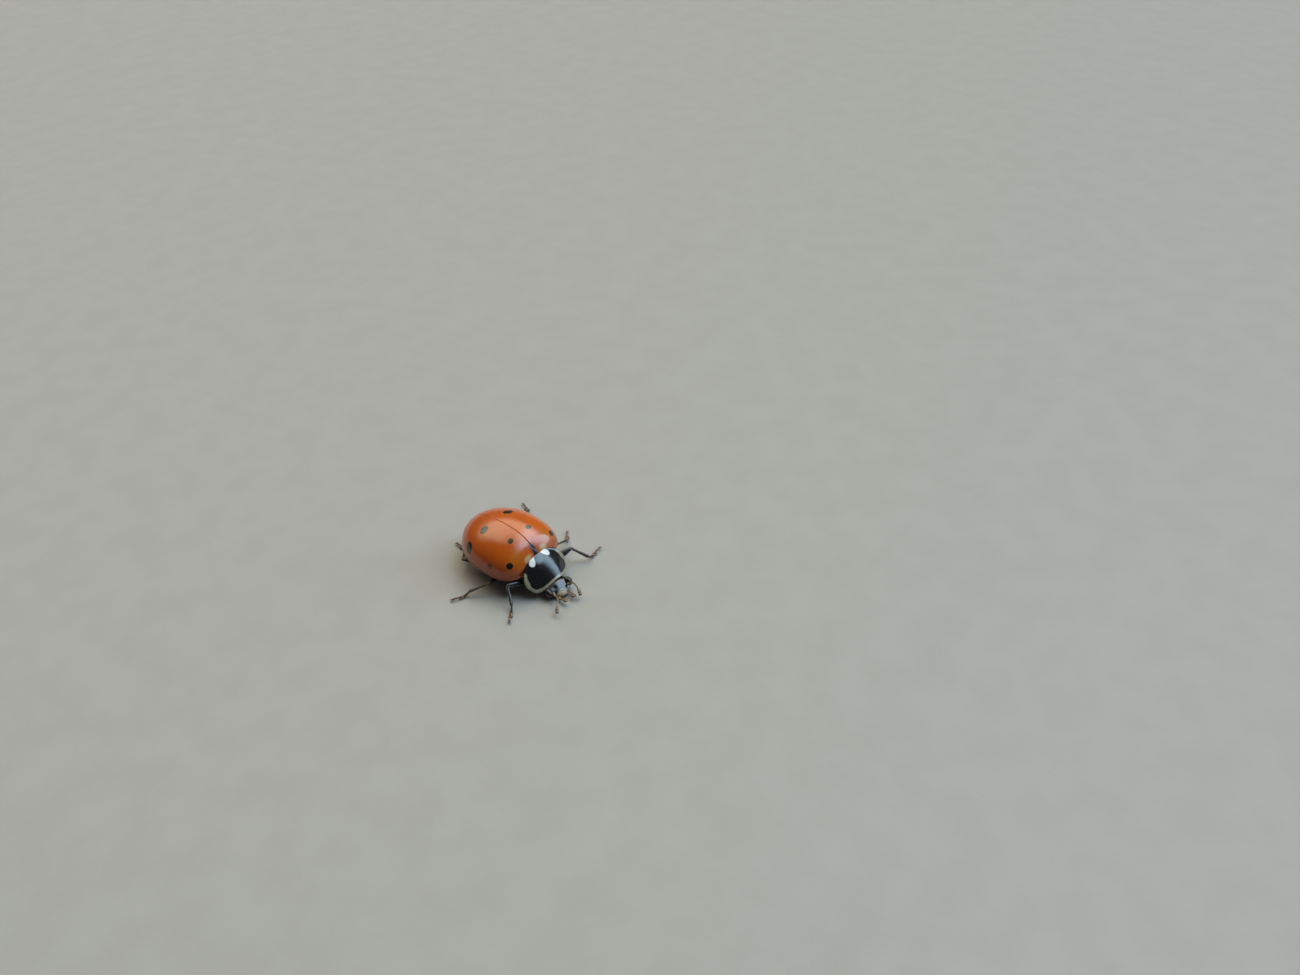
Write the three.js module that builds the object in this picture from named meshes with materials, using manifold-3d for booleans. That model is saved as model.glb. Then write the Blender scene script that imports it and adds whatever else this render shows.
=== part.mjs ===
// A convergent lady beetle standing on its six feet, life size.
// Millimetres. +Z is up, the head points towards -Y and the animal's left side is +X.
// While the model is made, the floor is z = 0 and y = 0 is the widest place of the wing cases.
import * as THREE from 'three';
import { mergeVertices } from 'three/addons/utils/BufferGeometryUtils.js';
import Module from 'manifold-3d';

const wasm = await Module();
wasm.setup();

// ---------- driving dimensions ----------
const GAP = 0.03; // clear space between neighbouring pieces
const SLIVER = 0.004; // edges shorter than this are merged after a cut

// The wing cases: a dome over a plan that is blunt in front and rounder behind.
const DOME = {
  halfWidth: 2.05,
  front: 1.96,
  rear: 2.76,
  height: 1.47,
  base: 1.05,
  planFront: 3.0,
  planRear: 2.1,
  arch: 2.1,
};
const SHELL = 0.5; // thickness of a wing case

// The belly below the wing cases' margin. The keel powers shape its depth along it and its section across.
const BELLY = {
  halfWidth: 1.66,
  front: 1.95,
  rear: 2.4,
  depth: 0.52,
  planFront: 3.4,
  planRear: 2.1,
  keelAlong: 0.6,
  keelAcross: 0.8,
};
const BELLY_START = -1.86;
const WAIST_Y = 0.45; // where the thorax ends and the abdomen begins
const STERNITES = 5;
const SUTURE = { depth: 0.05, before: 0.03, after: 0.04, width: 0.1 };

// The small triangular shield between the wing cases.
const SCUTELLUM = { halfWidth: 0.3, front: -2.0, tip: -1.36 };

// The pronotum: a shield that slopes down to the head. Its middle is half-way along the midline.
const PRONOTUM = {
  middleY: -2.36,
  halfLength: 0.62,
  halfWidth: 1.24,
  taper: 0.28,
  sweep: 0.25,
  middleZ: 1.205,
  slope: 0.534,
  bend: 0.07,
  crown: 0.09,
  arch: 0.635,
  archTaper: -0.06,
  archPower: 2.2,
  plan: 2.8,
  thickness: 0.34,
};
const PRONOTUM_UP = new THREE.Vector3(0, -0.5, 0.866); // square to its slope
const PRONOTUM_RINGS = { top: [0.25, 0.45, 0.62, 0.77, 0.9, 1], under: [0.96, 0.75, 0.4] };
const PROTHORAX = { middle: [0, -2.25, 0.72], half: [0.94, 0.56, 0.42] };

// The head, turned a little to the animal's right on the neck.
const NECK = [0, -2.49, 0];
const HEAD_TURN = THREE.MathUtils.degToRad(-9);
// Each station of the head: distance in front of the neck, height, half width, half height.
const HEAD_STATIONS = [
  [0.1, 0.34, 0.5, 0.14],
  [0.3, 0.34, 0.62, 0.19],
  [0.45, 0.345, 0.65, 0.21],
  [0.62, 0.335, 0.66, 0.21],
  [0.84, 0.285, 0.62, 0.165],
  [0.97, 0.255, 0.5, 0.12],
  [1.05, 0.235, 0.38, 0.08],
];
const HEAD_CAPS = { back: 0.08, front: 0.03 }; // how far the head's ends stand out of its first and last station
const HEAD_SECTION = 1.9; // power of its rounded section
const EYE = { middle: [0.6, -0.74, 0.355], half: [0.19, 0.27, 0.215] };
const LABRUM = { back: 1.0, front: 1.32, halfWidth: 0.31, top: 0.36, bottom: 0.1 };
// Each station of the upper lip: distance from its back or its front, and share of its full width and height.
const LABRUM_STATIONS = [
  [LABRUM.back - 0.1, 0.9],
  [LABRUM.back, 1],
  [LABRUM.front - 0.06, 0.86],
  [LABRUM.front, 0.6],
];

// Feelers and palps, from base to tip, in the head's own frame.
const FEELER_RADIUS = 0.24;
const ANTENNAE = {
  right: [[-0.42, -0.95, 0.42], [-0.56, -1.4, 0.44], [-0.84, -1.7, 0.32], [-1.05, -2.0, 0.27]],
  left: [[0.42, -0.95, 0.42], [0.6, -1.12, 0.56], [0.62, -1.42, 0.42], [0.5, -1.78, 0.29]],
};
const PALP_RADIUS = 0.2;
const PALPS = {
  right: [[-0.23, -1.42, 0.24], [-0.23, -1.56, 0.24]],
  left: [[0.23, -1.42, 0.24], [0.25, -1.58, 0.24]],
};

// The legs. Hips are symmetric; ankles and toes are where each foot stands.
const COXA_RADII = [0.27, 0.25];
const FEMUR_RADII = [0.25, 0.28, 0.24];
const TIBIA_RADII = [0.23, 0.24, 0.24];
const TARSUS_RADII = [0.24, 0.25, 0.23];
// Heights of the foot's axis, so that its sole is a small flat, and the share of its length at the ball.
const FOOT = { ankle: 0.28, ball: 0.22, toe: 0.2, ballShare: 0.4 };
const LEGS = [
  {
    name: 'front', hip: [0.38, -1.98, 0.46], trochanter: [0.85, -1.94, 0.48], femur: 1.15, tibia: 1.0,
    left: { ankle: [2.38, -2.95], toe: [3.3, -2.84], lean: [0.55, 0.45, 0.71] },
    right: { ankle: [-2.34, -2.24], toe: [-3.0, -2.72], lean: [0.1, 0.75, 0.65] },
  },
  {
    name: 'middle', hip: [0.46, -0.62, 0.48], trochanter: [0.95, -0.58, 0.48], femur: 1.22, tibia: 1.05,
    left: { ankle: [2.58, -1.28], toe: [3.14, -0.76], lean: [-0.4, -0.62, 0.6] },
    right: { ankle: [-2.97, 0.06], toe: [-3.72, 0.42], lean: [-0.3, -0.8, 0.5] },
  },
  {
    name: 'hind', hip: [0.46, 0.62, 0.48], trochanter: [1.0, 0.66, 0.48], femur: 1.3, tibia: 1.25,
    left: { ankle: [3.0, 1.83], toe: [3.28, 2.55], lean: [-0.2, 0.3, 0.93] },
    right: { ankle: [-1.0, 2.42], toe: [-0.95, 3.14], lean: [-0.95, 0, 0.3] },
  },
];

// ---------- materials ----------
function finish(color, roughness) {
  return new THREE.MeshStandardMaterial({ color, roughness, metalness: 0 });
}

const MATERIALS = {
  wingCase: finish(0xd2500f, 0.22),
  blackShell: finish(0x0d0d0f, 0.2),
  eye: finish(0x060607, 0.12),
  belly: finish(0x17130f, 0.4),
  leg: finish(0x1c1613, 0.35),
  foot: finish(0x3a2018, 0.4),
  feeler: finish(0xa8733f, 0.45),
  mouth: finish(0xb98f5c, 0.45),
};

// ---------- solids and cuts ----------
const vec = (p) => new THREE.Vector3(p[0], p[1], p[2]);

// A closed surface through rings of points, with a point that closes each end.
function loft(rings, startPoint, endPoint) {
  const size = rings[0].length;
  const points = [...rings.flat(), startPoint, endPoint];
  const end = points.length - 1;
  const start = end - 1;
  const faces = [];
  for (let j = 0; j < size; j++) {
    const next = (j + 1) % size;
    for (let i = 0; i + 1 < rings.length; i++) {
      const a = i * size;
      const b = a + size;
      faces.push(a + j, a + next, b + next, a + j, b + next, b + j);
    }
    const last = (rings.length - 1) * size;
    faces.push(start, next, j, end, last + j, last + next);
  }
  const geometry = new THREE.BufferGeometry();
  geometry.setAttribute('position', new THREE.Float32BufferAttribute(points.flatMap((p) => p.toArray()), 3));
  geometry.setIndex(faces);
  return toSolid(geometry);
}

function signedVolume(positions, index) {
  const [a, b, c] = [new THREE.Vector3(), new THREE.Vector3(), new THREE.Vector3()];
  let volume = 0;
  for (let i = 0; i < index.length; i += 3) {
    a.fromArray(positions, 3 * index[i]);
    b.fromArray(positions, 3 * index[i + 1]);
    c.fromArray(positions, 3 * index[i + 2]);
    volume += a.dot(b.cross(c));
  }
  return volume;
}

function toSolid(geometry) {
  const bare = geometry.clone();
  bare.deleteAttribute('normal');
  bare.deleteAttribute('uv');
  const merged = mergeVertices(bare, 1e-5);
  const vertProperties = new Float32Array(merged.attributes.position.array);
  const triVerts = new Uint32Array(merged.index.array);
  if (signedVolume(vertProperties, triVerts) < 0) {
    for (let i = 0; i < triVerts.length; i += 3) {
      [triVerts[i], triVerts[i + 1]] = [triVerts[i + 1], triVerts[i]];
    }
  }
  return new wasm.Manifold(new wasm.Mesh({ numProp: 3, vertProperties, triVerts }));
}

function toGeometry(solid) {
  const mesh = largest(solid.simplify(SLIVER)).getMesh();
  const geometry = new THREE.BufferGeometry();
  geometry.setAttribute('position', new THREE.Float32BufferAttribute(mesh.vertProperties, mesh.numProp));
  geometry.setIndex([...mesh.triVerts]);
  geometry.computeVertexNormals();
  return geometry;
}

// A cut can leave crumbs beside the piece itself, which is the largest of them.
function largest(solid) {
  return solid.decompose().sort((a, b) => b.volume() - a.volume())[0];
}

const cut = (solid, ...cutters) => cutters.reduce((rest, cutter) => rest.subtract(cutter), solid);
const join = (...solids) => solids.reduce((whole, solid) => whole.add(solid));

function block(low, high) {
  const [a, b] = [vec(low), vec(high)];
  const box = new THREE.BoxGeometry(b.x - a.x, b.y - a.y, b.z - a.z);
  box.translate((a.x + b.x) / 2, (a.y + b.y) / 2, (a.z + b.z) / 2);
  return toSolid(box);
}

const FAR = 10;
const behind = (y) => block([-FAR, y, -FAR], [FAR, FAR, FAR]);
const ahead = (y) => block([-FAR, -FAR, -FAR], [FAR, y, FAR]);
const BELOW_FLOOR = block([-FAR, -FAR, -FAR], [FAR, FAR, 0]);

// ---------- curves ----------
// A point of a superellipse of half-axes 1 at an angle; larger powers are squarer.
function squircle(angle, power) {
  const [c, s] = [Math.cos(angle), Math.sin(angle)];
  return [Math.sign(c) * Math.abs(c) ** (2 / power), Math.sign(s) * Math.abs(s) ** (2 / power)];
}

function around(count, pointAt) {
  return Array.from({ length: count }, (_, i) => pointAt((i / count) * 2 * Math.PI));
}

// A plan outline that is blunt towards -Y and rounder towards +Y.
function planPoint(shape, angle, reach) {
  const forward = Math.sin(angle) < 0;
  const [x, y] = squircle(angle, forward ? shape.planFront : shape.planRear);
  return new THREE.Vector2(reach * x * shape.halfWidth, reach * y * (forward ? shape.front : shape.rear));
}

// An ellipsoid-like solid from half-axes.
function egg(middle, half, sides = 20, tiers = 10) {
  const at = (angle, tilt) => new THREE.Vector3(
    middle[0] + half[0] * Math.cos(angle) * Math.sin(tilt),
    middle[1] + half[1] * Math.sin(angle) * Math.sin(tilt),
    middle[2] + half[2] * Math.cos(tilt),
  );
  const rings = [];
  for (let j = 1; j < tiers; j++) {
    rings.push(around(sides, (angle) => at(angle, (j / tiers) * Math.PI)));
  }
  return loft(rings, at(0, 0), at(0, Math.PI));
}

// ---------- wing cases and scutellum ----------
function inset(shape, by) {
  return {
    ...shape,
    halfWidth: shape.halfWidth - by,
    front: shape.front - by,
    rear: shape.rear - by,
    height: shape.height - by,
  };
}

// The dome from its flat bottom up to its top.
function dome(shape, bottom, sides = 40, tiers = 8) {
  const rings = [around(sides, (angle) => {
    const p = planPoint(shape, angle, 1);
    return new THREE.Vector3(p.x, p.y, bottom);
  })];
  for (let j = bottom < shape.base ? 0 : 1; j < tiers; j++) {
    const [reach, rise] = squircle((j / tiers) * (Math.PI / 2), shape.arch);
    rings.push(around(sides, (angle) => {
      const p = planPoint(shape, angle, reach);
      return new THREE.Vector3(p.x, p.y, shape.base + shape.height * rise);
    }));
  }
  return loft(rings, new THREE.Vector3(0, 0, bottom), new THREE.Vector3(0, 0, shape.base + shape.height));
}

function scutellumPrism(grow) {
  const { halfWidth, front, tip } = SCUTELLUM;
  const outline = new THREE.Shape([
    new THREE.Vector2(-halfWidth - grow, front),
    new THREE.Vector2(halfWidth + grow, front),
    new THREE.Vector2(0, tip + 2 * grow),
  ]);
  const prism = new THREE.ExtrudeGeometry(outline, { depth: DOME.height, bevelEnabled: false });
  prism.translate(0, 0, DOME.base);
  return toSolid(prism);
}

const domeOutside = dome(DOME, DOME.base);
const domeInside = dome(inset(DOME, SHELL), DOME.base - 1, 24, 6);
const shell = cut(domeOutside, domeInside);

// ---------- pronotum and prothorax ----------
function pronotumPoint(angle, reach, lift) {
  const p = PRONOTUM;
  const [across, along] = squircle(angle, p.plan).map((side) => side * reach);
  const crown = p.crown * (1 - across ** 2) * (1 - along ** 2);
  const top = new THREE.Vector3(
    across * (p.halfWidth - p.taper * along),
    p.middleY - along * p.halfLength - (p.sweep * across ** 2 * (1 - along)) / 2,
    p.middleZ + crown - p.slope * along - p.bend * along ** 2
      - (p.arch + p.archTaper * along) * Math.abs(across) ** p.archPower,
  );
  return top.addScaledVector(PRONOTUM_UP, lift);
}

function pronotumSolid(grow) {
  const sides = 36;
  const reach = 1 + grow;
  const ring = (share, lift) => around(sides, (angle) => pronotumPoint(angle, share * reach, lift));
  const floorLift = -PRONOTUM.thickness - grow;
  const top = PRONOTUM_RINGS.top.map((share) => ring(share, grow));
  const under = PRONOTUM_RINGS.under.map((share) => ring(share, floorLift));
  return loft([...top, ...under], pronotumPoint(0, 0, grow), pronotumPoint(0, 0, floorLift));
}

// ---------- head ----------
function headSolid(grow) {
  const rings = HEAD_STATIONS.map(([forward, height, halfWidth, halfHeight]) => around(22, (angle) => {
    const [x, z] = squircle(angle, HEAD_SECTION);
    return new THREE.Vector3(x * (halfWidth + grow), -forward, height + z * (halfHeight + grow));
  }));
  const first = HEAD_STATIONS[0];
  const last = HEAD_STATIONS[HEAD_STATIONS.length - 1];
  const start = new THREE.Vector3(0, -first[0] + HEAD_CAPS.back + grow, first[1]);
  const end = new THREE.Vector3(0, -last[0] - HEAD_CAPS.front - grow, last[1]);
  return loft(rings, start, end);
}

function eyeSolid(side, grow) {
  const [x, y, z] = EYE.middle;
  return egg([side * x, y, z], EYE.half.map((half) => half + grow), 14, 8);
}

function labrumSolid(grow) {
  const { halfWidth, top, bottom } = LABRUM;
  const middle = (top + bottom) / 2;
  const rings = LABRUM_STATIONS.map(([forward, share]) => around(12, (angle) => {
    const [x, z] = squircle(angle, 3);
    const halfHeight = (share * (top - bottom)) / 2 + grow;
    return new THREE.Vector3(x * (share * halfWidth + grow), -forward, middle + z * halfHeight);
  }));
  const [backEnd, frontEnd] = [LABRUM_STATIONS[0][0] - 0.02, LABRUM.front + 0.02];
  return loft(rings, new THREE.Vector3(0, -backEnd, middle), new THREE.Vector3(0, -frontEnd, middle));
}

// ---------- limbs ----------
// A round limb through a few points with rounded ends, one radius for each point.
function limb(points, radii, grow = 0, sides = 9) {
  const last = points.length - 1;
  const fat = radii.map((radius) => radius + grow);
  const direction = (i) => new THREE.Vector3()
    .subVectors(points[Math.min(i + 1, last)], points[Math.max(i - 1, 0)]).normalize();
  const ring = (i, forward, radius) => {
    const axis = direction(i);
    const across = new THREE.Vector3(0, 0, 1).cross(axis).normalize();
    const up = new THREE.Vector3().crossVectors(axis, across);
    return around(sides, (angle) => points[i].clone()
      .addScaledVector(axis, forward)
      .addScaledVector(across, radius * Math.cos(angle))
      .addScaledVector(up, radius * Math.sin(angle)));
  };
  const round = Math.SQRT1_2;
  const middles = fat.map((radius, i) => ring(i, 0, radius));
  return loft(
    [ring(0, -round * fat[0], round * fat[0]), ...middles, ring(last, round * fat[last], round * fat[last])],
    points[0].clone().addScaledVector(direction(0), -fat[0]),
    points[last].clone().addScaledVector(direction(last), fat[last]),
  );
}

// The knee of a leg with two given lengths, pushed out of the straight line towards lean.
function kneeBetween(hip, ankle, upper, lower, lean) {
  const line = new THREE.Vector3().subVectors(ankle, hip);
  const distance = line.length();
  line.normalize();
  const along = (distance ** 2 + upper ** 2 - lower ** 2) / (2 * distance);
  const offset = Math.sqrt(upper ** 2 - along ** 2);
  const aside = vec(lean);
  aside.addScaledVector(line, -aside.dot(line)).normalize();
  return hip.clone().addScaledVector(line, along).addScaledVector(aside, offset);
}

function legJoints(leg, sideName) {
  const side = sideName === 'left' ? 1 : -1;
  const pose = leg[sideName];
  const mirrored = ([x, y, z]) => new THREE.Vector3(side * x, y, z);
  const trochanter = mirrored(leg.trochanter);
  const ankle = new THREE.Vector3(...pose.ankle, FOOT.ankle);
  const toe = new THREE.Vector3(...pose.toe, FOOT.toe);
  const knee = kneeBetween(trochanter, ankle, leg.femur, leg.tibia, pose.lean);
  const ball = ankle.clone().lerp(toe, FOOT.ballShare).setZ(FOOT.ball);
  return { hip: mirrored(leg.hip), trochanter, knee, ankle, ball, toe };
}

const halfway = (a, b) => a.clone().lerp(b, 0.5);
const legSolids = {
  coxa: (j, grow) => limb([j.hip, j.trochanter], COXA_RADII, grow),
  femur: (j, grow) => limb([j.trochanter, halfway(j.trochanter, j.knee), j.knee], FEMUR_RADII, grow),
  tibia: (j, grow) => limb([j.knee, halfway(j.knee, j.ankle), j.ankle], TIBIA_RADII, grow),
  tarsus: (j, grow) => limb([j.ankle, j.ball, j.toe], TARSUS_RADII, grow),
};

// ---------- assembly ----------
const beetle = new THREE.Group();
const head = new THREE.Group();
head.position.copy(vec(NECK));
head.rotation.z = HEAD_TURN;
head.updateMatrix();
beetle.add(head);

function addPart(group, name, solid, material) {
  const mesh = new THREE.Mesh(toGeometry(solid), material);
  mesh.name = name;
  group.add(mesh);
}

const inBody = (solid) => {
  const mesh = solid.getMesh();
  const geometry = new THREE.BufferGeometry();
  geometry.setAttribute('position', new THREE.Float32BufferAttribute(mesh.vertProperties, mesh.numProp));
  geometry.setIndex([...mesh.triVerts]);
  return toSolid(geometry.applyMatrix4(head.matrix));
};

const SIDES = { left: 1, right: -1 };
const legs = LEGS.flatMap((leg) => Object.keys(SIDES).map((sideName) => ({
  name: `${leg.name}_${sideName}`,
  joints: legJoints(leg, sideName),
})));
const coxaHoles = legs.map((leg) => legSolids.coxa(leg.joints, GAP));
const femurHoles = legs.map((leg) => legSolids.femur(leg.joints, GAP));
const headHole = inBody(join(headSolid(GAP), eyeSolid(1, GAP), eyeSolid(-1, GAP)));
const domeClearance = dome(inset({ ...DOME, base: DOME.base - GAP }, -GAP), DOME.base - GAP);

// Wing cases, parted along the midline.
const pronotumHole = pronotumSolid(GAP);
const sutureSlit = block([-GAP / 2, -FAR, 0], [GAP / 2, FAR, FAR]);
const wholeCase = cut(shell, pronotumHole, scutellumPrism(GAP), sutureSlit);
const rightHalf = block([-FAR, -FAR, -FAR], [0, FAR, FAR]);
const leftHalf = block([0, -FAR, -FAR], [FAR, FAR, FAR]);
addPart(beetle, 'elytron_left', cut(wholeCase, rightHalf), MATERIALS.wingCase);
addPart(beetle, 'elytron_right', cut(wholeCase, leftHalf), MATERIALS.wingCase);
addPart(beetle, 'scutellum', cut(shell.intersect(scutellumPrism(0)), pronotumHole), MATERIALS.blackShell);

// Thorax and abdomen: a dome inside the wing cases joined to a belly below their margin.
const BELLY_STEPS = 12;
const CORE_SUNK = 0.1; // how far the dome reaches into the belly

function bellySection(y, swell) {
  const forward = y < 0;
  const power = forward ? BELLY.planFront : BELLY.planRear;
  const run = Math.abs(y) / (forward ? BELLY.front : BELLY.rear);
  const share = (1 - run ** power) ** (1 / power);
  const top = DOME.base - GAP;
  const depth = BELLY.depth * share ** BELLY.keelAlong - swell;
  return Array.from({ length: BELLY_STEPS + 1 }, (_, i) => {
    const across = Math.cos((i / BELLY_STEPS) * Math.PI);
    const down = Math.sin((i / BELLY_STEPS) * Math.PI) ** BELLY.keelAcross;
    return new THREE.Vector3(-across * BELLY.halfWidth * share, y, top - depth * down);
  });
}

function belly(stations) {
  const rings = stations.map(([y, swell]) => bellySection(y, swell));
  const capMiddle = (ring) => new THREE.Vector3(0, ring[0].y, ring[0].z - BELLY.depth / 5);
  return loft(rings, capMiddle(rings[0]), capMiddle(rings[rings.length - 1]));
}

function sterniteStations() {
  const stations = [];
  const end = BELLY.rear * 0.97;
  for (let i = 0; i < STERNITES; i++) {
    const from = WAIST_Y + ((end - WAIST_Y) * i) / STERNITES;
    const to = WAIST_Y + ((end - WAIST_Y) * (i + 1)) / STERNITES;
    stations.push([from + SUTURE.after, SUTURE.depth], [from + SUTURE.width, 0], [to - SUTURE.before, 0]);
  }
  return stations;
}

const core = dome(inset(DOME, SHELL + 2 * GAP), DOME.base - CORE_SUNK, 24, 6);
const thoraxStations = [BELLY_START, -1.7, -1.5, -1.1, -0.5, 0, WAIST_Y].map((y) => [y, 0]);
const thoraxWhole = join(cut(core, behind(WAIST_Y)), belly(thoraxStations));
const abdomenWhole = join(cut(core, ahead(WAIST_Y + GAP)), belly(sterniteStations()));
addPart(beetle, 'thorax', cut(thoraxWhole, ...coxaHoles, ...femurHoles), MATERIALS.belly);
addPart(beetle, 'abdomen', cut(abdomenWhole, ...coxaHoles, ...femurHoles), MATERIALS.belly);

addPart(beetle, 'pronotum', cut(pronotumSolid(0), headHole), MATERIALS.blackShell);
const thoraxHole = join(cut(domeClearance, behind(0)), block([-FAR, BELLY_START - GAP, 0], [FAR, 0, DOME.base]));
const prothorax = cut(egg(PROTHORAX.middle, PROTHORAX.half), pronotumHole, thoraxHole, headHole, ...coxaHoles);
addPart(beetle, 'prothorax', cut(prothorax, ...femurHoles), MATERIALS.belly);

// Head and what it carries.
const eyeHoles = join(eyeSolid(1, GAP), eyeSolid(-1, GAP));
addPart(head, 'head', cut(headSolid(0), eyeHoles), MATERIALS.blackShell);
const headClearance = join(headSolid(GAP), eyeHoles);
addPart(head, 'labrum', cut(labrumSolid(0), headClearance), MATERIALS.mouth);
for (const sideName of Object.keys(SIDES)) {
  addPart(head, `eye_${sideName}`, eyeSolid(SIDES[sideName], 0), MATERIALS.eye);
  const palpPoints = PALPS[sideName].map(vec);
  const palp = (grow) => limb(palpPoints, palpPoints.map(() => PALP_RADIUS), grow);
  addPart(head, `palp_${sideName}`, cut(palp(0), headClearance, labrumSolid(GAP)), MATERIALS.mouth);
  const feelerPoints = ANTENNAE[sideName].map(vec);
  const feeler = limb(feelerPoints, feelerPoints.map(() => FEELER_RADIUS));
  addPart(head, `antenna_${sideName}`, cut(feeler, headClearance, palp(GAP)), MATERIALS.feeler);
}

// Legs: each piece is cut to fit the one that carries it.
for (const { name, joints } of legs) {
  const clearances = [domeClearance, pronotumHole, headHole, BELOW_FLOOR];
  const piece = (kind, ...holes) => cut(legSolids[kind](joints, 0), ...holes, ...clearances);
  addPart(beetle, `coxa_${name}`, legSolids.coxa(joints, 0), MATERIALS.leg);
  addPart(beetle, `femur_${name}`, piece('femur', legSolids.coxa(joints, GAP)), MATERIALS.leg);
  addPart(beetle, `tibia_${name}`, piece('tibia', legSolids.femur(joints, GAP)), MATERIALS.leg);
  addPart(beetle, `tarsus_${name}`, piece('tarsus', legSolids.tibia(joints, GAP)), MATERIALS.foot);
}

// The origin of the finished model is the bottom centre of its box.
const bounds = new THREE.Box3().setFromObject(beetle, true);
const middle = bounds.getCenter(new THREE.Vector3());
beetle.position.set(-middle.x, -middle.y, -bounds.min.z);

export default beetle;
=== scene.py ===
"""A convergent ladybird standing on its six feet: the looks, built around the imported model.

Shapes are worked out in millimetres in the beetle's own frame: the floor is z = 0, the head points
to -Y, the animal's left side is +X and y = 0 is the widest place of the wing cases. piece() turns
them into metres in the row frame.
"""

import math

import bmesh
import bpy
import numpy as np
from mathutils import Matrix, Vector


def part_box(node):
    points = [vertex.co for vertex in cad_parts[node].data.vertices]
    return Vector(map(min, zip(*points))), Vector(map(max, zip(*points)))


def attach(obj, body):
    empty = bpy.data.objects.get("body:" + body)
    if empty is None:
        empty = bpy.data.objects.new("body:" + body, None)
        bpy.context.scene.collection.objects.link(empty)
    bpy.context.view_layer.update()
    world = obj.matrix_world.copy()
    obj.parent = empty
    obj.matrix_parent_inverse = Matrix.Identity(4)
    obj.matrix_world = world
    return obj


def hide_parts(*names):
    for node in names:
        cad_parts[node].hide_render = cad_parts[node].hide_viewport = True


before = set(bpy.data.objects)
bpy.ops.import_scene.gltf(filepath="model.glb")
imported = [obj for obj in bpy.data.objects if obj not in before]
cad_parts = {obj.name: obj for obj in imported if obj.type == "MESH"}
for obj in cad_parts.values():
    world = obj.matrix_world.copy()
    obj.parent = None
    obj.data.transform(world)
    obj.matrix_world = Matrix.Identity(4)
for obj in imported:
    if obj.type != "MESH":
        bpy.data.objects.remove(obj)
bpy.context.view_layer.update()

# ---------- places taken from the frame ----------
MM = 0.001
REAR = 2.76  # from the widest place of the wing cases to their rear tip
left_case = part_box("elytron_left")
right_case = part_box("elytron_right")
ORIGIN = Vector(((left_case[0].x + right_case[1].x) / 2, left_case[1].y - REAR * MM, 0))
HALF_WIDTH = (left_case[1].x - right_case[0].x) / 2 / MM
MARGIN_Z = left_case[0].z / MM
DOME_HEIGHT = (left_case[1].z - left_case[0].z) / MM
SIDES = {"left": 1, "right": -1}
UP = np.array([0.0, 0.0, 1.0])
rng = np.random.default_rng(11)


def node_points(name):
    """The corners of a CAD node, in millimetres in the beetle's frame."""
    return [(vertex.co - ORIGIN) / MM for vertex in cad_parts[name].data.vertices]


# ---------- shapes ----------
class Shape:
    """Points in millimetres, faces, and one number a point for each named value."""

    def __init__(self, points=(), faces=(), **values):
        self.points = np.asarray(points, float).reshape(-1, 3)
        self.faces = list(faces)
        self.values = values
        self.uv = None

    def add(self, other):
        first = len(self.points)
        self.faces += [tuple(first + corner for corner in face) for face in other.faces]
        self.points = np.vstack([self.points, other.points])
        for name, value in other.values.items():
            self.values[name] = np.concatenate([self.values.get(name, []), value])


def ease(t):
    """A smooth odd step from -1 to 1."""
    t = np.clip(t, -1, 1)
    return 1.5 * t - 0.5 * t**3


def hill(distance, width):
    """1 at distance 0, falling to nothing over a few widths."""
    return np.exp(-((np.asarray(distance) / width) ** 2))


def unit(vectors):
    """A vector, or rows of them, brought to length 1."""
    return vectors / np.linalg.norm(vectors, axis=-1, keepdims=True)


def spline(stations, count):
    """A Catmull-Rom curve of count rows through rows of numbers."""
    rows = np.asarray(stations, float)
    padded = np.vstack([2 * rows[0] - rows[1], rows, 2 * rows[-1] - rows[-2]])
    place = np.linspace(0, len(rows) - 1, count)
    i = np.minimum(place.astype(int), len(rows) - 2)
    t = (place - i)[:, None]
    a, b, c, d = padded[i], padded[i + 1], padded[i + 2], padded[i + 3]
    return 0.5 * (2 * b + (c - a) * t + (2 * a - 5 * b + 4 * c - d) * t**2 + (3 * b - 3 * c + d - a) * t**3)


def superellipse(angles, power):
    """Points of a rounded square of half-axes 1, evenly turned."""
    across, along = np.cos(angles), np.sin(angles)
    radius = (np.abs(across) ** power + np.abs(along) ** power) ** (-1 / power)
    return radius * across, radius * along


def rows_of(x, y, z):
    """Points from arrays or single numbers."""
    return np.stack(np.broadcast_arrays(x, y, z), 1)


def turn(count):
    """Angles once round."""
    return np.arange(count) * 2 * np.pi / count


def loft(rings, **values):
    """A closed surface through rings of points, with a middle point over each end."""
    rings = np.asarray(rings, float)
    rows, size = rings.shape[:2]
    points = np.vstack([rings.reshape(-1, 3), rings[0].mean(0), rings[-1].mean(0)])
    faces = []
    for j in range(size):
        k = (j + 1) % size
        for i in range(rows - 1):
            faces.append((i * size + j, i * size + k, (i + 1) * size + k, (i + 1) * size + j))
        faces.append((rows * size, k, j))
        faces.append((rows * size + 1, (rows - 1) * size + j, (rows - 1) * size + k))
    return Shape(points, faces, **values)


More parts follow.
